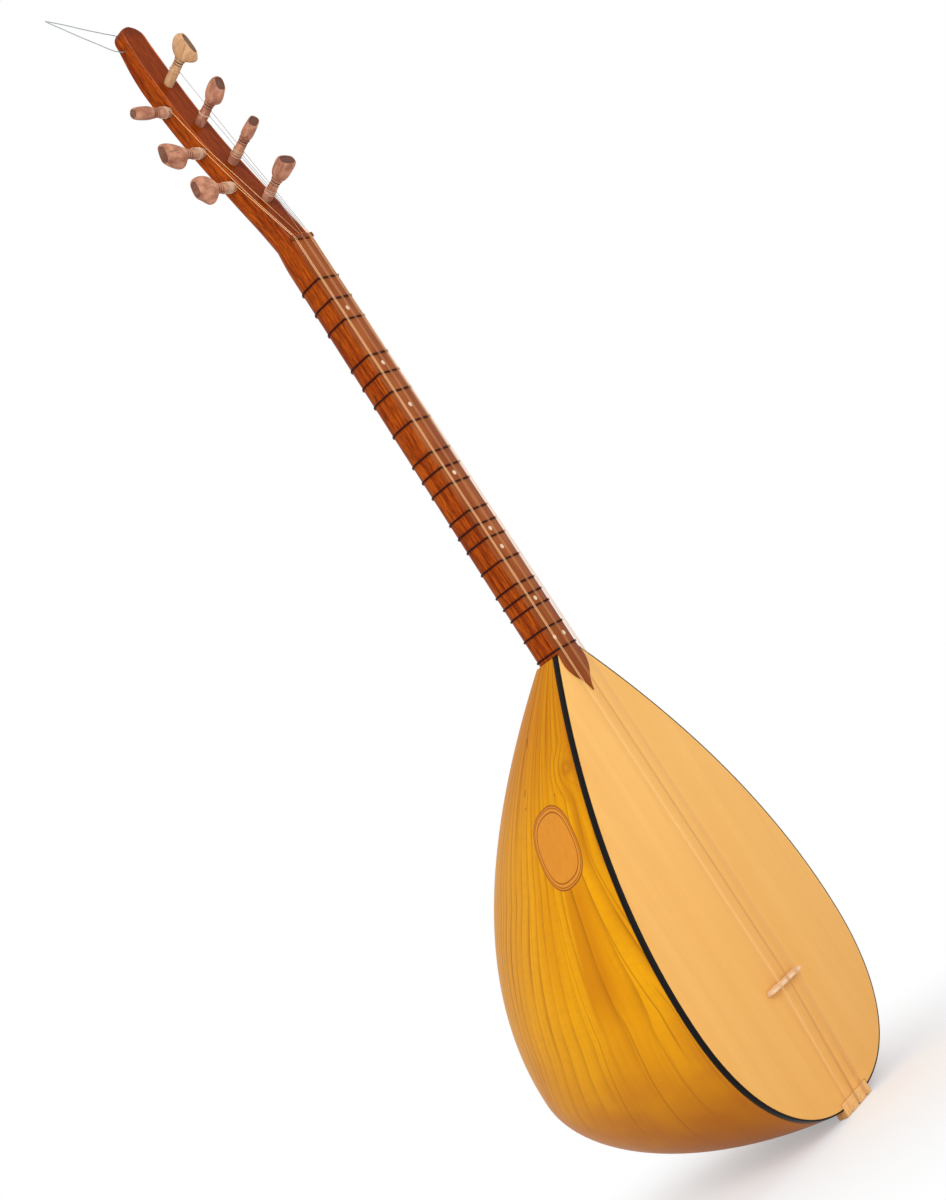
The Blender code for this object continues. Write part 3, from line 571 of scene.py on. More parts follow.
def drawn_up(name, rings, sides=16):
    """A solid drawn up from a circle, ring by ring."""
    bpy.ops.mesh.primitive_circle_add(vertices=sides, radius=1, fill_type="NGON")
    thing = named(name)

    def draw():
        last = rings[0]
        start = (0, 0, last.height)
        bpy.ops.transform.translate(value=start)
        bpy.ops.transform.resize(value=(last.width, last.thickness, 1), center_override=start)
        for ring in rings[1:]:
            rise = {"value": (ring.shift - last.shift, 0, ring.height - last.height)}
            bpy.ops.mesh.extrude_region_move(TRANSFORM_OT_translate=rise)
            grown = (ring.width / last.width, ring.thickness / last.thickness, 1)
            bpy.ops.transform.resize(value=grown, center_override=(ring.shift, 0, ring.height))
            last = ring

    edited(thing, draw)
    tone = thing.data.attributes.new("tone", "FLOAT", "POINT")
    for vertex, spot in zip(thing.data.vertices, tone.data):
        x, y, z = vertex.co

        def miss(ring):
            size = sqrt(((x - ring.shift) / ring.width) ** 2 + (y / ring.thickness) ** 2)
            return abs(z - ring.height) + ring.thickness * abs(size - 1)

        ring = min(rings, key=miss)
        spot.value = ring.tone
        for axis, half, middle in ((0, ring.width, ring.shift), (1, ring.thickness, 0)):
            flat = middle + half * signed((vertex.co[axis] - middle) / half, 0.62)
            vertex.co[axis] = between(vertex.co[axis], flat, ring.square)
    return thing


class Value:
    """A shader socket that takes part in sums."""

    def __init__(self, maker, socket):
        self.maker, self.socket = maker, socket

    def sum(self, operation, *others):
        inputs = dict(enumerate((self, *others)))
        return self.maker.node("Math", {"operation": operation}, inputs)

    __add__ = __radd__ = partialmethod(sum, "ADD")
    __sub__ = partialmethod(sum, "SUBTRACT")
    __mul__ = __rmul__ = partialmethod(sum, "MULTIPLY")
    __truediv__ = partialmethod(sum, "DIVIDE")
    __pow__ = partialmethod(sum, "POWER")
    __abs__ = partialmethod(sum, "ABSOLUTE")
    part = partialmethod(sum, "FRACT")

    def __rsub__(self, other):
        return self * -1 + other

    def rise(self, low, high):
        """0 below low and 1 above high, with a soft way between them."""
        settings = {"interpolation_type": "SMOOTHSTEP"}
        return self.maker.node("MapRange", settings, {0: self, 1: low, 2: high})

    def fall(self, low, high):
        """1 below low and 0 above high."""
        return 1 - self.rise(low, high)

    def near(self, centre, reach):
        """1 at a value and 0 further than reach from it."""
        return abs(self - centre).fall(0, reach)


class Nodes:
    """A node tree that is built node by node."""

    def __init__(self, tree):
        self.tree = tree

    def feed(self, socket, value):
        if isinstance(value, Value):
            self.tree.links.new(value.socket, socket)
        else:
            socket.default_value = value

    def node(self, kind, settings=None, inputs=None, output=0):
        """Adds any node: its settings first, and then its inputs."""
        made = self.tree.nodes.new("ShaderNode" + kind)
        for name, value in (settings or {}).items():
            setattr(made, name, value)
        for key, value in (inputs or {}).items():
            self.feed(made.inputs[key], value)
        return Value(self, made.outputs[output])

    def seen(self):
        """1 for a ray that shows the room itself: from the camera, off a gloss or through glass."""
        seen = self.node("LightPath", output="Is Camera Ray")
        for ray in ("Is Glossy Ray", "Is Transmission Ray"):
            seen = seen.sum("MAXIMUM", self.node("LightPath", output=ray))
        return seen


def colour(red, green, blue):
    """A colour from its values as a picture shows them, 0 to 255."""
    parts = [part / 255 for part in (red, green, blue)]
    return [p / 12.92 if p <= 0.04045 else ((p + 0.055) / 1.055) ** 2.4 for p in parts] + [1]


class Finish(Nodes):
    """A material, with a tone that others are laid over."""

    def __init__(self, name, tone=(255, 255, 255), **sockets):
        self.material = bpy.data.materials.new(name)
        self.material.use_nodes = True
        super().__init__(self.material.node_tree)
        self.shader = self.tree.nodes["Principled BSDF"]
        self.base = colour(*tone)
        for socket, value in sockets.items():
            self.set(socket.replace("_", " ").title().replace("Ior", "IOR"), value)

    def set(self, socket, value):
        self.feed(self.shader.inputs[socket], value)

    def stain(self, share, tone):
        """Lays a tone over what is there, as much as the share says."""
        inputs = {0: share, 6: self.base, 7: colour(*tone)}
        self.base = self.node("Mix", {"data_type": "RGBA"}, inputs, output=2)

    def done(self):
        self.set("Base Color", self.base)
        return self.material

    def place(self):
        """The place in the part's frame."""
        return self.node("TexCoord", output="Object")

    def unwrapped(self):
        """The two numbers of the piece's UV."""
        return self.axes(self.node("TexCoord", output="UV"))[:2]

    def axes(self, vector):
        made = self.node("SeparateXYZ", {}, {0: vector}).socket.node
        return [Value(self, socket) for socket in made.outputs]

    def vector(self, x, y, z):
        return self.node("CombineXYZ", {}, {0: x, 1: y, 2: z})

    def noise(self, vector, per_metre, detail=3, roughness=0.55, twist=0):
        """Soft random values around a half, so many to the metre along each axis."""
        scaled = self.node("VectorMath", {"operation": "MULTIPLY"}, {0: vector, 1: per_metre})
        inputs = {"Vector": scaled, "Scale": 1, "Detail": detail, "Roughness": roughness,
                  "Distortion": twist}
        return self.node("TexNoise", {}, inputs)

    def distance(self, vector, point):
        inputs = {0: vector, 1: point}
        return self.node("VectorMath", {"operation": "DISTANCE"}, inputs, output="Value")

    def bump(self, height, strength):
        inputs = {"Strength": strength, "Distance": 0.0002, "Height": height}
        self.set("Normal", self.node("Bump", {}, inputs))


def bowl_finish():
    """Glossy yellow wood with fine lines that fan out from the neck, a dark streak and a knot. Its
    UV holds the place across the grain and the height."""
    wood = Finish("bowl_lacquer", (243, 171, 4), roughness=0.42, coat_weight=0.08,
                  coat_roughness=0.14, specular_ior_level=0.04)
    place = wood.place()
    turn, z = wood.unwrapped()
    x, y, _ = wood.axes(place)

    def figure(seed, across, along, detail=2):
        """Soft values, so many across the half turn and to the metre along the grain."""
        return wood.noise(wood.vector(turn, z, seed), (across, along, 1), detail)

    low = z.fall(0.06, 0.185)
    drift = figure(0, 9, 2.5, 1)
    fade = figure(1, 40, 7).rise(0.36, 0.66)
    fine = figure(2, 460, 26)
    broad = figure(3, 13, 3).rise(0.36, 0.66)
    soft = figure(4, 70, 9)
    wander = figure(5, 30, 6)
    bands = figure(6, 44, 5, 3)
    fan = figure(7, 62, 1.6).rise(0.48, 0.64)
    curl = wood.noise(place, (95, 95, 210), 2)
    clouds = wood.noise(place, (16, 16, 26)).rise(0.34, 0.68)

    # The ground, with painted shade over the lower belly and at the tail end, and darker towards
    # the neck
    wood.stain(broad, (226, 148, 0))
    wood.stain(turn.fall(0.77, 0.9), (231, 158, 30))
    # painted shade over the lower belly, mottled by the clouds
    wood.stain(low * (clouds * 0.35 + 0.65), (196, 118, 22))
    # painted shade at the bottom of the bowl, by the tail end
    wood.stain(z.fall(0.015, 0.11) * 0.85, (158, 86, 6))
    wood.stain(z.rise(0.3, 0.4) * (broad * 0.4 + 0.4), (192, 110, 0))
    wood.stain(fan * z.rise(0.28, 0.37) * 0.6, (166, 90, 0))

    # The dark streak below the label, and the soft patch between the label and the binding
    path = (z - 0.256) * 0.11 + 0.938
    across = (turn - path + (soft - 0.5) * 0.006) / 0.0165
    streak = across.rise(-1.15, -0.75) * across.fall(0.2, 1.3)
    streak = streak * z.rise(0.14, 0.19) * z.fall(0.25, 0.29) * (0.6 + soft * 0.45)
    wood.stain(streak * (1.06 - z * 1.7), (192, 106, 0))
    beside = (z - 0.315).sum("MAXIMUM", 0) * -0.6 + 0.9745
    patch = abs(turn - beside + 0.002 + (soft - 0.5) * 0.008).fall(0.002, 0.014)
    wood.stain(patch * z.rise(0.25, 0.29) * z.fall(0.32, 0.35) * 0.58, (186, 106, 4))
    near_edge = turn.rise(0.935, 0.972) * z.rise(0.3, 0.35)
    wood.stain(near_edge * (0.35 + broad * 0.3), (196, 118, 8))
    by_binding = turn.rise(0.962, 0.98) * z.rise(0.15, 0.2) * (broad * 0.5 + 0.5)
    wood.stain(by_binding * 0.55, (192, 112, 2))
    wood.stain((curl.rise(0.42, 0.62) - 0.3) * 0.22 * (1 - low), (214, 140, 14))
    wood.stain((fine - 0.42) * 0.34, (188, 112, 16))
    wood.stain((bands - 0.44) * (low * 0.9 + 0.35), (176, 102, 22))

    # The lines of the grain
    around_knot = wood.distance(place, KNOT)
    bent = around_knot.fall(0.002, 0.026) * 1.5
    phase = (turn * 60 + drift * 2.6 + wander * 0.55 + bent).part()
    lines = (phase ** 6) * phase.fall(0.96, 1) * (fade * 0.85 + 0.15)
    wood.stain((phase ** 2) * (0.17 - low * 0.1), (196, 118, 12))
    strength = turn.fall(0.8, 0.93) * 0.3 + z.rise(0.28, 0.38) * 0.15 + 0.8
    wood.stain(lines * (strength - low * 0.75), (148, 76, 0))
    wood.stain(low * bands.rise(0.5, 0.68) * 0.35, (184, 104, 24))
    thin = (turn * 143 + drift * 5 + wander).part()
    wood.stain((thin ** 6) * thin.fall(0.95, 1) * (1 - fade) * 0.22, (176, 102, 12))
    for spot, bottom, top, width, strength in GRAIN_LINES:
        stroke = abs(turn - spot + (wander - 0.5) * 0.004).fall(width * 0.2, width)
        stroke = stroke * z.rise(bottom, bottom + 0.03) * z.fall(top - 0.02, top)
        wood.stain(stroke * strength, (152, 82, 10))

    # The knot and the dashes
    rings = (around_knot * 560 + soft * 1.2).part()
    wood.stain(around_knot.fall(0.003, 0.01) * (rings * 0.45 + 0.15), (160, 84, 12))
    wood.stain(around_knot.fall(0.0005, 0.0022) * 0.6, (226, 150, 40))
    for back, height, length, slant in BOWL_DASHES:
        dash = abs(y - back + (z - height) * slant).fall(0.0002, 0.001)
        dash = dash * abs(z - height).fall(length * 0.6, length)
        wood.stain(dash * x.fall(-0.01, 0) * 0.75, (96, 50, 14))
    wood.bump(fine, 0.04)
    return wood.done()


def grain_turn(z, turn):
    """Where a place lies across the bowl's grain, as a share of the half turn. The lines spread
    from the middle of each flank below the label, and over the belly each goes straight on."""
    share = turn / pi
    if z < GRAIN_BREAK_Z:
        depth = body_depth(z) * sin(turn) ** (2 / SECTION_POWER)
        even = depth * (BODY_LENGTH - GRAIN_BREAK_Z) / (BODY_LENGTH - z) / body_depth(GRAIN_BREAK_Z)
        straight = asin(min(1, even) ** (SECTION_POWER / 2)) / pi
        straight = straight if share < 0.5 else 1 - straight
        share = between(share, straight, ease((abs(2 * share - 1) - 0.1) / 0.5))
    off = share - (0.925 if share > 0.5 else 0.075)
    spread = 1 + 5.5 * max(0, GRAIN_SPREAD_Z - max(z, GRAIN_BREAK_Z))
    close_by = 1 - ease((abs(off) - 0.1) / 0.25)
    return share + (off / spread - off) * close_by


def soundboard_finish():
    """Pale softwood with soft broad stripes and a faint fine grain, satin smooth."""
    wood = Finish("soundboard_satin", (232, 175, 97), roughness=0.6, specular_ior_level=0.1)
    place = wood.place()
    z = wood.axes(place)[2]
    stripes = wood.noise(place, (42, 0, 0.9), 2, 0.55, 0.1)
    clouds = wood.noise(place, (9, 0, 5), 2)
    fine = wood.noise(place, (900, 0, 7), 2)
    wood.stain(z.rise(0, 0.4), (240, 186, 107))
    wood.stain(stripes.rise(0.38, 0.68) * 0.35, (225, 164, 84))
    wood.stain(clouds.rise(0.4, 0.7) * 0.25, (233, 168, 88))
    wood.stain(fine.rise(0.45, 0.75) * 0.12, (200, 142, 74))
    return wood.done()


def reddish_finish(name, light, middle, dark, ridge_highlight, front_share=0, lean=0):
    """Red-brown wood with short dark dashes along it, and a painted highlight along the rounded
    edge on either side of its front. Its UV runs round its section and along it."""
    wood = Finish(name, light, roughness=0.45, coat_roughness=0.12, specular_ior_level=0.03)
    around, s = wood.unwrapped()
    x, y, z = wood.axes(wood.place())
    straight = wood.vector(x, y - (z - NUT_Z) * lean, z)
    bands = wood.noise(straight, (320, 320, 16), 3, 0.6, 0.3)
    dashes = wood.noise(straight, (800, 800, 62), 3, 0.6, 0.3)
    short = wood.noise(straight, (900, 900, 130), 2, 0.6)
    front = abs(around - 0.5).rise(0.436, 0.446)
    wood.stain(bands.rise(0.34, 0.66), middle)
    wood.stain(dashes.rise(0.46, 0.66) * 0.62, dark)
    wood.stain(short.rise(0.5, 0.68) * 0.5, dark)
    wood.stain(short.rise(0.3, 0.46) * -0.3 + 0.3, light)
    wood.stain(front * front_share, (112, 40, 4))
    # painted highlight along the rounded edges beside the front, where they would catch the light
    wood.stain((around.near(0.927, 0.01) + around.near(0.073, 0.01)) * 0.65, ridge_highlight)
    wood.set("Coat Weight", 0.06 - front * 0.05)
    return wood, s


def neck_finish():
    # the last colour is the painted highlight on the front's rounded edges
    wood, _ = reddish_finish("neck_lacquer", (186, 84, 10), (142, 51, 2), (66, 17, 0),
                             (226, 134, 76))
    return wood.done()


def headstock_finish():
    # the last colour but two is the painted highlight on the front's rounded edges
    wood, s = reddish_finish("headstock_lacquer", (184, 82, 12), (138, 49, 2), (70, 20, 0),
                             (218, 128, 76), 0.72, 0.1)
    # painted shade over the rounded tip, where its faces turn away from the lamps
    wood.stain(s.rise(HEAD_LENGTH - 0.012, HEAD_LENGTH - 0.005) * 0.45, (84, 32, 22))
    return wood.done()


def fingerboard_finish():
    """Brown wood that players' fingers have worn, darker towards the body."""
    wood = Finish("fingerboard_worn", (172, 94, 44), roughness=0.5, specular_ior_level=0.06)
    place = wood.place()
    x, _, z = wood.axes(place)
    grain = wood.noise(place, (620, 0, 26))
    wood.stain(wood.noise(place, (60, 0, 14), 2).rise(0.3, 0.7), (146, 72, 32))
    wood.stain(grain.rise(0.42, 0.7) * 0.6, (104, 44, 16))
    wood.stain(x.rise(0.004, 0.013) * 0.35, (140, 98, 84))
    wood.stain(z.fall(0.41, 0.52) * 0.4, (118, 54, 20))
    return wood.done()


def peg_finish(name, light, dark, end):
    """Turned wood with painted shade in the grooves of its collar and a dark end; its tone
    attribute says where.
    """
    wood = Finish(name, light, roughness=0.55, specular_ior_level=0.15)
    own = wood.node("Attribute", {"attribute_name": "own"}, output="Vector")
    grain = wood.noise(own, (520, 520, 60))
    wood.stain(wood.noise(own, (150, 150, 90)).rise(0.36, 0.64), dark)
    wood.stain(grain.rise(0.46, 0.78) * 0.5, end)
    # the tone attribute paints shade into the collar's grooves, and darkens the end
    wood.stain(wood.node("Attribute", {"attribute_name": "tone"}, output="Fac"), end)
    wood.bump(grain, 0.15)
    return wood.done()


def bar_wood(name, light, dark, **sockets):
    """Bare wood with a fine grain along X."""
    wood = Finish(name, light, **sockets)
    grain = wood.noise(wood.place(), (60, 1300, 1300))
    wood.stain(grain.rise(0.3, 0.75), dark)
    return wood


def tail_block_finish():
    """The soundboard's wood, scratched by strings at its lower end, with painted shade at its
    sides.
    """
    wood = bar_wood("tail_block_wood", (234, 182, 110), (222, 166, 94), roughness=0.5)
    x, _, z = wood.axes(wood.place())
    for spot in (-0.0185, -0.01, 0.004, 0.0175):
        wood.stain(x.near(spot, 0.0006) * z.fall(-0.002, 0.001) * 0.65, (120, 72, 34))
    # painted shade on the block's sides
    wood.stain(abs(x).rise(BLOCK_HALF_WIDTH - 0.0016, BLOCK_HALF_WIDTH) * 0.5, (168, 104, 48))
    return wood.done()


def label_finish():
    """A plain oval with rings round a bare middle; its UV's second number is 1 at the edge."""
    paper = Finish("label_varnished", (222, 144, 44), roughness=0.42, coat_weight=0.12,
                   coat_roughness=0.14, specular_ior_level=0.06)
    radius = paper.unwrapped()[1]
    fine = paper.noise(paper.place(), (260, 260, 60), 2)
    paper.stain(fine.rise(0.2, 0.8), (217, 137, 38))
    lines = radius.near(0.982, 0.03) + radius.near(0.925, 0.022) + radius.near(0.828, 0.028)
    paper.stain(lines * 0.95, (136, 62, 14))
    return paper.done()


def string_finish():
    """Steel painted with the reflections it shows: each course has its own painted tone of the wood
    below it, and the last one turns to a painted grey reflection where it leaves the headstock's
    face."""
    wire = Finish("string_wire", (246, 198, 138), roughness=0.4, metallic=0.12)
    # the base tone and each course's tone are painted reflections of the wood below the strings
    x, _, z = wire.axes(wire.place())
    wire.stain(x.rise(-0.008, -0.003), (190, 132, 76))
    wire.stain(x.rise(0.003, 0.009), (222, 170, 108))
    # painted grey reflection where the last string leaves the headstock's face
    wire.stain(x.rise(0.001, 0.004) * z.rise(NUT_Z + 0.004, NUT_Z + 0.012), (130, 130, 126))
    return wire.done()


def wear(thing, material, slot, *nodes, body="instrument"):
    """Gives a piece its finish and the body it rides on, and hides the nodes it stands for."""
    thing.data.materials.clear()
    thing.data.materials.append(material)
    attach(thing, body)
    if nodes:
        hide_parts(*nodes)


def make_camera():
    """The photo's view point, solved from the frets and the soundboard's outline."""
    data = bpy.data.cameras.new("view")
    data.sensor_width, data.lens = 36, 58.185
    data.shift_x, data.shift_y = -0.0337, 0.062
    data.clip_start, data.clip_end = 0.05, 50
    right = Vector((0.54406, -0.64207, -0.54013))
    up = Vector((0.29051, -0.45977, 0.83917))
    back = -Vector((0.78715, 0.61348, 0.06361))
    turned = Matrix((right, up, back)).transposed().to_4x4()
    camera = linked("view", data)
    camera.matrix_world = Matrix.Translation((-1.2476, -0.9131, 0.328)) @ turned
    bpy.context.scene.camera = camera


def make_loop():
    """The hanging loop, out of its hole to the left and back in from behind the tip."""
    hole = on_head(0, HANG_HOLE_S, -HANG_HOLE_DEPTH)
    offsets = (
        (-0.004, 0, 0), (-0.015, 0, 0), (-0.02, 0, 0.0006),
        (-0.0262, 0.0001, 0.0024), (-0.038, 0.0007, 0.0098), (-0.0503, 0.0017, 0.018),
        (-0.064, 0.0028, 0.0278), (-0.074, 0.0036, 0.035), (-0.0722, 0.0045, 0.0362),
        (-0.056, 0.005, 0.033), (-0.0366, 0.0057, 0.0283), (-0.016, 0.0075, 0.025),
        (0.0039, 0.0092, 0.0218), (0.0115, 0.0088, 0.015), (0.0165, 0.0055, 0.008),
        (0.018, 0.002, 0.0025), (0.0163, 0, 0.0002), (0.0135, 0, 0), (0.004, 0, 0),
    )
    points = smooth_route([hole + Vector(offset) for offset in offsets], 80)
    loop = line("loop_line", points, LOOP_DIAMETER / 2)
    material = Finish("loop_nylon", (150, 160, 162), roughness=0.25).done()
    wear(loop, material, "loop_line", "hanging_loop")


def make_bowl():
    """A shell behind the binding, with its sound hole and the notch for the tail block."""
    rim = BINDING_HEIGHT + GAP
    tail = 0.45

    def spot(u, v):
        if v < tail:
            z = WIDEST_Z * (1 - cos(pi / 2 * (0.012 + 0.988 * v / tail)))
        else:
            z = between(WIDEST_Z, BODY_LENGTH, (v - tail) / (1 - tail))
        first = asin(min(1, rim / body_depth(z)) ** (SECTION_POWER / 2))
        return z, between(first, pi - first, u)

    def place(u, v):
        z, turn = spot(u, v)
        depth = body_depth(z) * sin(turn) ** (2 / SECTION_POWER)
        return (body_half_width(z) * signed(cos(turn), 2 / SECTION_POWER), depth, z)

    def mark(u, v):
        z, turn = spot(u, v)
        return (grain_turn(z, turn), z)

    bowl = wrapped("bowl_shell", 160, 120, place, mark)
    apply(bowl, "SOLIDIFY", thickness=WALL, offset=-1)
    low = Vector((0, SOUND_HOLE_DEPTH, -0.02))
    hole = rod("hole", low, low + Vector((0, 0, 0.06)), SOUND_HOLE_RADIUS)
    side = BLOCK_HALF_WIDTH + GAP
    notch = block("notch", (-side, -0.01, -0.01), (side, BLOCK_BACK + GAP, BLOCK_INNER + GAP))
    smooth(cut(bowl, hole, notch), 40)
    wear(bowl, bowl_finish(), "bowl_wood", "bowl")
    return bowl


def make_soundboard():
    """A plate inside the bindings, cut out for the tail block."""
    steps = 220
    top, side = BODY_LENGTH - GAP, BLOCK_HALF_WIDTH + GAP
    edge = [body_edge(i / steps, BINDING_WIDTH + 0.0001) for i in range(steps)]
    right = [(x, min(top, z)) for x, z in edge if z > WIDEST_Z or x > side + 0.0002]
    right += [(side, right[-1][1]), (side, BLOCK_INNER + GAP)]
    outline = right + [(-x, z) for x, z in reversed(right)]
    board = plate("soundboard_plate", outline, 0, SOUNDBOARD_THICKNESS)
    wear(board, soundboard_finish(), "soundboard_wood", "soundboard")


def make_bindings():
    """Two black strips with rounded corners, from the neck joint to the tail block."""
    radius = BINDING_ROUNDING
    outer, deep = BINDING_WIDTH - radius, BINDING_HEIGHT - radius
    corners = ((radius, radius, 2), (outer, radius, 3), (outer, deep, 0), (radius, deep, 1))
    ring = []
    for inward, back, quarter in corners:
        for i in range(4):
            turn = pi / 2 * (quarter + i / 3)
            ring.append((inward + radius * cos(turn), back + radius * sin(turn)))
    first, clear = 0.0004, BLOCK_HALF_WIDTH + 0.0004
    last = next(i / 400 for i in range(200, 400) if body_edge(i / 400, 0).x < clear)
    material = Finish("binding_polished", (12, 8, 7), roughness=0.3, specular_ior_level=0.1).done()
    for side, sign in (("left", -1), ("right", 1)):
        def place(u, v):
            inward, back = round_at(ring, u)
            x, z = body_edge(between(first, last, v), inward)
            return (sign * x, back, min(z, BODY_LENGTH - GAP))

        strip = wrapped(f"binding_{side}", len(ring), 150, place)
        smooth(edited(strip, fill_ends), 50)
        wear(strip, material, "binding_black", f"edge_binding_{side}")


def make_neck():
    """A round-backed shaft that takes on the headstock's section over its last stretch."""
    shaft = 0.93

    def spot(v):
        return between(BODY_LENGTH + GAP, NECK_SHAFT_TOP, v / shaft)

    def place(u, v):
        z = min(spot(v), NECK_SHAFT_TOP)
        x, back = round_at(neck_section(z), u)
        low = Vector((x, back, z))
        if v <= shaft:
            return low
        x, back = round_at(head_section(SPLICE_S), u)
        high = on_head(x, SPLICE_S, -back)
        share = (v - shaft) / (1 - shaft)
        point = low.lerp(high, share)
        point.y = between(low.y, high.y, share * (1 + ease(share)) / 2)
        return point

    neck = wrapped("neck_shaft", SECTION_POINTS, 90, place, lambda u, v: (u, spot(v)))
    smooth(edited(neck, fill_ends))
    wear(neck, neck_finish(), "neck_wood", "neck")


def make_headstock():
    """A solid bar with a rounded tip, bored for the seven pegs and for the hanging loop."""
    bar_share = 0.8

    def spot(v):
        if v < bar_share:
            return between(SPLICE_S + 0.0001, HEAD_ROUND_S, v / bar_share)
        rounding = sin(pi / 2 * (v - bar_share) / (1 - bar_share))
        return between(HEAD_ROUND_S, HEAD_LENGTH - 0.00004, rounding)

    def place(u, v):
        x, back = round_at(head_section(spot(v)), u)
        return on_head(x, spot(v), -back)

    bar = wrapped("headstock_bar", SECTION_POINTS, 110, place, lambda u, v: (u, spot(v)))
    edited(bar, fill_ends)
    bores, past = [], 0.01
    for name in PEG_PLACES:
        face, out, _, through = peg_frame(name)
        taper = (PEG_SHAFT_RADIUS - PEG_INNER_RADIUS) / through * past
        bores.append(rod("bore", face + out * past, face - out * (through + past),
                         PEG_SHAFT_RADIUS + taper + BORE_CLEARANCE, 48,
                         PEG_INNER_RADIUS - taper + BORE_CLEARANCE))
    start = on_head(-0.03, HANG_HOLE_S, -HANG_HOLE_DEPTH)
    bores.append(rod("bore", start, start + Vector((0.06, 0, 0)), HANG_HOLE_RADIUS, 20))
    smooth(cut(bar, *bores))
    wear(bar, headstock_finish(), "neck_wood", "headstock")


def make_fingerboard():
    """A thin plate that ends as a leaf on the soundboard, and its inlaid dots."""
    leaf = [Vector((x, BODY_LENGTH - drop)) for x, drop in LEAF]
    right = [(NECK_HALF_WIDTH["nut"], NUT_Z - NUT_THICKNESS / 2 - 0.0001), *smooth_route(leaf, 44)]
    outline = right + [(-x, z) for x, z in reversed(right[:-1])]
    board = plate("fingerboard_plate", outline, FINGERBOARD_FRONT, -0.00002)
    wear(board, fingerboard_finish(), "fingerboard_wood", "fingerboard")
    front = FINGERBOARD_FRONT - 0.00006
    places = [(0, z) for z in SINGLE_DOTS]
    places += [(sign * PAIRED_DOTS["x"], PAIRED_DOTS["z"]) for sign in (-1, 1)]
    dots = [rod("dot", Vector((x, front, z)), Vector((x, front + 0.0008, z)), DOT_RADIUS, 28)
            for x, z in places]
    material = Finish("dot_shell", (226, 200, 170), roughness=0.35).done()
    wear(joined("fingerboard_dots", dots), material, "pale_wood")


def make_frets():
    """Bands of three turns of line round the neck, each with its knot and a short loose end."""
    material = Finish("fret_gut", (66, 18, 8), roughness=0.5, specular_ior_level=0.15).done()
    profile = [(-1, 0), (-1, 0.45)]
    for i in range(1, 18):
        across = -1 + 2 * i / 18
        profile.append((across, 0.45 + 0.55 * abs(sin(1.5 * pi * (across + 1))) ** 0.6))
    profile += [(1, 0.45), (1, 0)]
    clear = 0.0001
    for number, ratio in enumerate(FRET_RATIOS, 1):
        centre = NUT_Z - SCALE_LENGTH * (1 - ratio)
        half_width, depth = neck_size(centre)
        half_width, depth = half_width + clear, depth - FINGERBOARD_FRONT + clear

        def place(u, v):
            across, out = round_at(profile, v)
            out = between(clear, GAP + FRET_THICKNESS, out)
            section = bar_section(half_width + out, depth + 2 * out, 0.0002 + out,
                                  half_width - 0.0004 + out)
            x, back = round_at(section, u)
            return (x, FINGERBOARD_FRONT - out + back, centre + across * FRET_WIDTH * 0.4)

        pieces = [smooth(wrapped("band", SECTION_POINTS, len(profile), place), 60)]
        knot = Vector((half_width * 0.8, depth * 0.8, centre))
        outward = Vector((0.75, 0.66, 0))
        for shift, size in ((0, 0.0013), (0.0014, 0.001)):
            bpy.ops.mesh.primitive_uv_sphere_add(segments=16, ring_count=10, radius=size)
            lump = bpy.context.object
            move = outward * (0.0006 + shift * 0.4) + Vector((0, -shift, shift * 0.3))
            lump.data.transform(Matrix.Translation(knot + move))
            pieces.append(smooth(lump, 60))
        end = knot + outward * 0.0022 + Vector((0.0004, 0, 0.003))
        pieces.append(rod("loose_end", knot + outward * 0.0008, end, 0.00035, 12))
        fret = f"fret_{number:02d}"
        wear(joined(f"fret_band_{number:02d}", pieces), material, "fret_line", fret, body=fret)


def peg_frame(name):
    """A peg's place on the wood's surface, its outward axis, the way up the headstock across that
    axis, and how much wood it goes through."""
    s = PEG_PLACES[name]
    if name.startswith("front"):
        out = Vector((0, -cos(FRONT_PEG_LEAN), sin(FRONT_PEG_LEAN)))
        up = Vector((0, sin(FRONT_PEG_LEAN), cos(FRONT_PEG_LEAN)))
        return on_head(FRONT_PEG_X, s, 0), out, up, head_thickness(s)
    out = Vector((-cos(SIDE_PEG_LEAN), 0, 0)) + head_up(s) * sin(SIDE_PEG_LEAN)
    up = Vector((sin(SIDE_PEG_LEAN), 0, 0)) + head_up(s) * cos(SIDE_PEG_LEAN)
    return on_head(-HEAD_HALF_WIDTH, s, -SIDE_PEG_DEPTH), out, up, 2 * HEAD_HALF_WIDTH


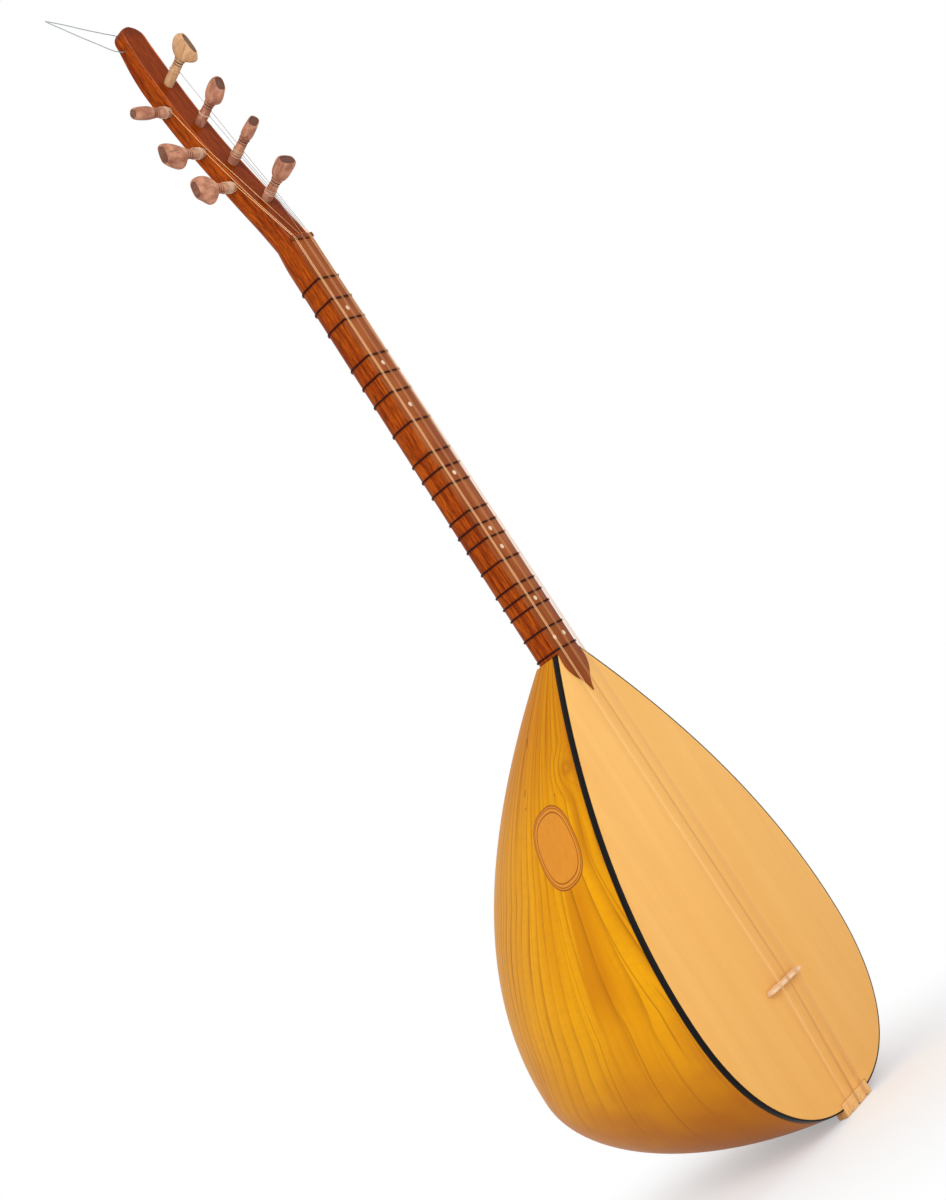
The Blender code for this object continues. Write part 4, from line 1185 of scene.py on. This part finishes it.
def make_peg(name, material):
    """A peg drawn up along Z from its inner end, and then turned and put in its bore."""
    face, out, up, through = peg_frame(name)
    collar, reach, tilt, head = PEG_HEADS[name]

    def round_ring(height, radius, tone=0):
        return Ring(height, radius, radius, tone=tone)

    rings = [round_ring(PEG_SUNK_END - through + rise, PEG_INNER_RADIUS * size, tone)
             for rise, size, tone in PEG_TIP_RINGS]
    rings.append(round_ring(0, PEG_SHAFT_RADIUS))
    rings += [round_ring(collar + height, PEG_COLLAR_RADIUS * size, tone)
              for height, size, tone in PEG_COLLAR_RINGS]
    start = rings[-1].height
    for share, *sizes in head:
        narrow, wide, thick = (size / 1000 for size in sizes)
        height = between(start, reach, share)
        rings.append(Ring(height, (narrow + wide) / 2, thick, (wide - narrow) / 2, 0.75))
    last = rings.pop()
    darkness = 0.8 if name.startswith("side") else 1
    for drop, size, square, tone in PEG_END_RINGS:
        rings.append(Ring(reach - drop, last.width * size, last.thickness * size, last.shift,
                          square, tone * darkness))
    peg = drawn_up(f"peg_turned_{name}", rings)
    for vertex in peg.data.vertices:
        share = ease((vertex.co.z - start) / (reach - start) * 1.6 - 0.6)
        vertex.co.z += vertex.co.x * sin(radians(tilt)) * share
    apply(peg, "SUBSURF", levels=2)
    own = peg.data.attributes.new("own", "FLOAT_VECTOR", "POINT")
    for vertex, spot in zip(peg.data.vertices, own.data):
        spot.vector = vertex.co + Vector((PEG_PLACES[name], 0, 0))
    turn = radians(PEG_TURN[name])
    wide = out.cross(-up) * sin(turn) - up * cos(turn)
    turned = Matrix((wide, out.cross(wide), out)).transposed().to_4x4()
    peg.data.transform(Matrix.Translation(face) @ turned)
    wear(smooth(peg, 70), material, "peg_wood", f"peg_{name}", body=f"peg_{name}")


def winding_points(name):
    """A helix round a peg, which ends where the string leaves towards the nut."""
    face, out, up, _ = peg_frame(name)
    side = -head_back(PEG_PLACES[name]) if name.startswith("side") else Vector((1, 0, 0))
    knots = WINDING_TURNS[name]
    count = knots[-1][0] * WINDING_POINTS
    points = []
    for i in range(count + 1):
        left = (count - i) / WINDING_POINTS
        turn = -2 * pi * left
        k = next(k for k in range(1, len(knots)) if left <= knots[k][0])
        (turn_a, low), (turn_b, high) = knots[k - 1], knots[k]
        height = between(low, high, (left - turn_a) / (turn_b - turn_a))
        shaft = between(PEG_SHAFT_RADIUS, PEG_COLLAR_RADIUS, height / PEG_HEADS[name][0])
        radius = shaft + WINDING_WIRE * 0.8 - 0.0005 * max(0, 1 - i / 6)
        points.append(face + out * height + side * radius * cos(turn) - up * radius * sin(turn))
    return points


def string_route(name, nut_x, bridge_x):
    """A string from its winding over the nut and the bridge into the tail block."""
    rest = []
    if name in RIDGE_REST:
        s = RIDGE_REST[name]
        rest = [on_head(-head_half_width(s) - 0.0001, s, 0.0002)]
    in_slot = BLOCK_END + BLOCK_SLOT_DEPTH - 1.3 * GAP - STRING_RADIUS
    return [
        winding_points(name)[-1],
        *rest,
        Vector((nut_x, STRING_AT_NUT, NUT_Z)),
        Vector((bridge_x, -BRIDGE_HEIGHT - 2.5 * GAP - STRING_RADIUS, BRIDGE_Z)),
        Vector((bridge_x, -0.0006, in_slot + 0.001)),
        Vector((bridge_x, -0.0004, in_slot + 0.0002)),
        Vector((bridge_x, 0.0002, in_slot)),
        Vector((bridge_x, BLOCK_BACK - 0.0015, in_slot)),
    ]


def make_strings():
    wire = string_finish()
    wraps = Finish("winding_wire", (214, 174, 142), roughness=0.5).done()
    for course in COURSES:
        for name, *across in zip(course["pegs"], course["nut"], course["bridge"]):
            string = line(f"string_wire_{name}", string_route(name, *across), STRING_RADIUS)
            wear(as_mesh(string), wire, "string_steel", f"string_{name}")
            winding = line(f"winding_wire_{name}", winding_points(name), WINDING_WIRE, 2)
            wear(as_mesh(winding), wraps, "string_steel", f"winding_{name}", body=f"peg_{name}")


def grooved(bar, end, low, high):
    """Cuts a groove for each course through a bar, between a low and a high (y, z)."""
    clear = STRING_RADIUS + 2 * GAP
    for course in COURSES:
        left, right = min(course[end]) - clear, max(course[end]) + clear
        cut(bar, block("groove", (left, *low), (right, *high)))
    return smooth(bar)


def make_nut():
    half = NUT_THICKNESS / 2
    bar = block("nut_bar", (-NUT_HALF_LENGTH, NUT_FRONT, NUT_Z - half),
                (NUT_HALF_LENGTH, -0.0001, NUT_Z + half), 0.0005)
    grooved(bar, "nut", (NUT_FRONT - 0.001, NUT_Z - NUT_THICKNESS),
            (STRING_AT_NUT + 0.0003, NUT_Z + NUT_THICKNESS))
    material = bar_wood("nut_wood", (134, 60, 22), (100, 42, 12), roughness=0.55,
                        specular_ior_level=0.12).done()
    wear(bar, material, "pale_wood", "nut")


def make_bridge():
    """A bar that is thin on top, arched below its middle and lowered towards its ends."""
    def place(u, v):
        x = BRIDGE_HALF_LENGTH * sin(pi / 2 * (2 * v - 1))
        far = max(0, (abs(x) - BRIDGE_STRAIGHT) / (BRIDGE_HALF_LENGTH - BRIDGE_STRAIGHT))
        height = BRIDGE_HEIGHT * (0.42 + 0.58 * sqrt(max(0, 1 - far**2)))
        under = BRIDGE_HEIGHT * 0.22 * max(0, 1 - (x / BRIDGE_ARCH) ** 2)
        up = 0.5 + 0.5 * signed(sin(2 * pi * u), 0.45)
        half_base = between(BRIDGE_BASE, BRIDGE_TOP, up) / 2 * (1 - 0.35 * far**3)
        z = BRIDGE_Z + half_base * signed(cos(2 * pi * u), 0.45)
        return (x, -GAP - between(under, height, up), z)

    bar = wrapped("bridge_bar", 28, 60, place)
    smooth(edited(bar, fill_ends), 50)
    material = bar_wood("bridge_wood", (238, 204, 164), (222, 180, 134), roughness=0.55).done()
    wear(bar, material, "pale_wood", "bridge", body="bridge")


def make_tail_block():
    bar = block("tail_block_bar", (-BLOCK_HALF_WIDTH, 0, BLOCK_END),
                (BLOCK_HALF_WIDTH, BLOCK_BACK, BLOCK_INNER), 0.0009, 4)
    grooved(bar, "bridge", (-0.01, BLOCK_END - 0.01),
            (BLOCK_BACK + 0.01, BLOCK_END + BLOCK_SLOT_DEPTH))
    wear(bar, tail_block_finish(), "pale_wood", "tail_block")


def make_label(bowl):
    """A thin oval pressed onto the bowl's outside."""
    side = Vector((0.09, 0.996, 0)).normalized()
    upward = side.cross(LABEL_NORMAL)
    long_axis = upward * cos(LABEL_TILT) + side * sin(LABEL_TILT)
    short_axis = side * cos(LABEL_TILT) - upward * sin(LABEL_TILT)

    def place(u, v):
        turn = 2 * pi * u
        flat = long_axis * LABEL_HALF_LENGTH * signed(cos(turn), 0.8)
        flat += short_axis * LABEL_HALF_WIDTH * signed(sin(turn), 0.8)
        return LABEL_CENTRE + flat * v + LABEL_NORMAL * 0.002

    oval = wrapped("label_oval", 96, 26, place)
    apply(oval, "SHRINKWRAP", target=bowl, wrap_method="NEAREST_SURFACEPOINT",
          wrap_mode="ABOVE_SURFACE", offset=0.00012)
    apply(oval, "SOLIDIFY", thickness=0.0001, offset=1)
    smooth(edited(oval), 40)
    wear(oval, label_finish(), "bowl_wood")


def make_braces():
    """The braces are the part's own solids, in a finish of bare wood."""
    material = bar_wood("brace_wood", (226, 186, 130), (206, 160, 102), roughness=0.55).done()
    for name in ("brace_lower", "brace_upper"):
        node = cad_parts[name]
        node.data.materials.clear()
        node.data.materials.append(material)


def make_light():
    """A white room, dimmer where it lights the piece, and three large lamps."""
    world = bpy.data.worlds.new("studio")
    bpy.context.scene.world = world
    world.use_nodes = True
    room = Nodes(world.node_tree)
    strength = room.node("MapRange", {}, {"Value": room.seen(), "To Min": ROOM_LIGHT})
    background = world.node_tree.nodes["Background"]
    room.feed(background.inputs["Color"], WHITE)
    room.feed(background.inputs["Strength"], strength)
    for name, (place, size, power) in LAMPS.items():
        data = bpy.data.lights.new(name, "AREA")
        data.shape = "RECTANGLE"
        data.size, data.size_y = size
        data.energy = power
        lamp = linked(name, data)
        lamp.visible_camera = False
        turned = (Vector(place) - LIT_POINT).to_track_quat("Z", "Y").to_matrix().to_4x4()
        lamp.matrix_world = Matrix.Translation(place) @ turned


def make_floor():
    """A pale floor that shows white further off and keeps the instrument's shadow close by."""
    bpy.ops.mesh.primitive_plane_add(size=30)
    floor = named("floor")
    floor.data.transform(Matrix.Translation((0, 0, BLOCK_END - GAP)))
    paint = Finish("floor_white", roughness=0.9)
    paint.base = FLOOR_WHITE
    x, y, _ = paint.axes(paint.place())
    far = ((x * x + y * y) ** 0.5).rise(0.04, 0.36) * 0.65 + 0.35
    glow = paint.node("Emission", {}, {"Color": WHITE, "Strength": 1})
    lit = Value(paint, paint.shader.outputs[0])
    mixed = paint.node("MixShader", {}, {0: far * paint.seen(), 1: lit, 2: glow})
    paint.feed(paint.tree.nodes["Material Output"].inputs["Surface"], mixed)
    floor.data.materials.append(paint.done())


def main():
    make_camera()
    make_loop()
    make_label(make_bowl())
    make_soundboard()
    make_bindings()
    make_neck()
    make_headstock()
    make_fingerboard()
    make_frets()
    brown = peg_finish("peg_brown", (204, 146, 116), (164, 106, 82), (88, 52, 40))
    tan = peg_finish("peg_tan", (216, 170, 126), (194, 146, 104), (96, 66, 46))
    for name in PEG_PLACES:
        make_peg(name, tan if name == "front_1" else brown)
    make_strings()
    make_nut()
    make_bridge()
    make_tail_block()
    make_braces()
    make_light()
    make_floor()
    bpy.context.scene.view_settings.view_transform = "Standard"


main()
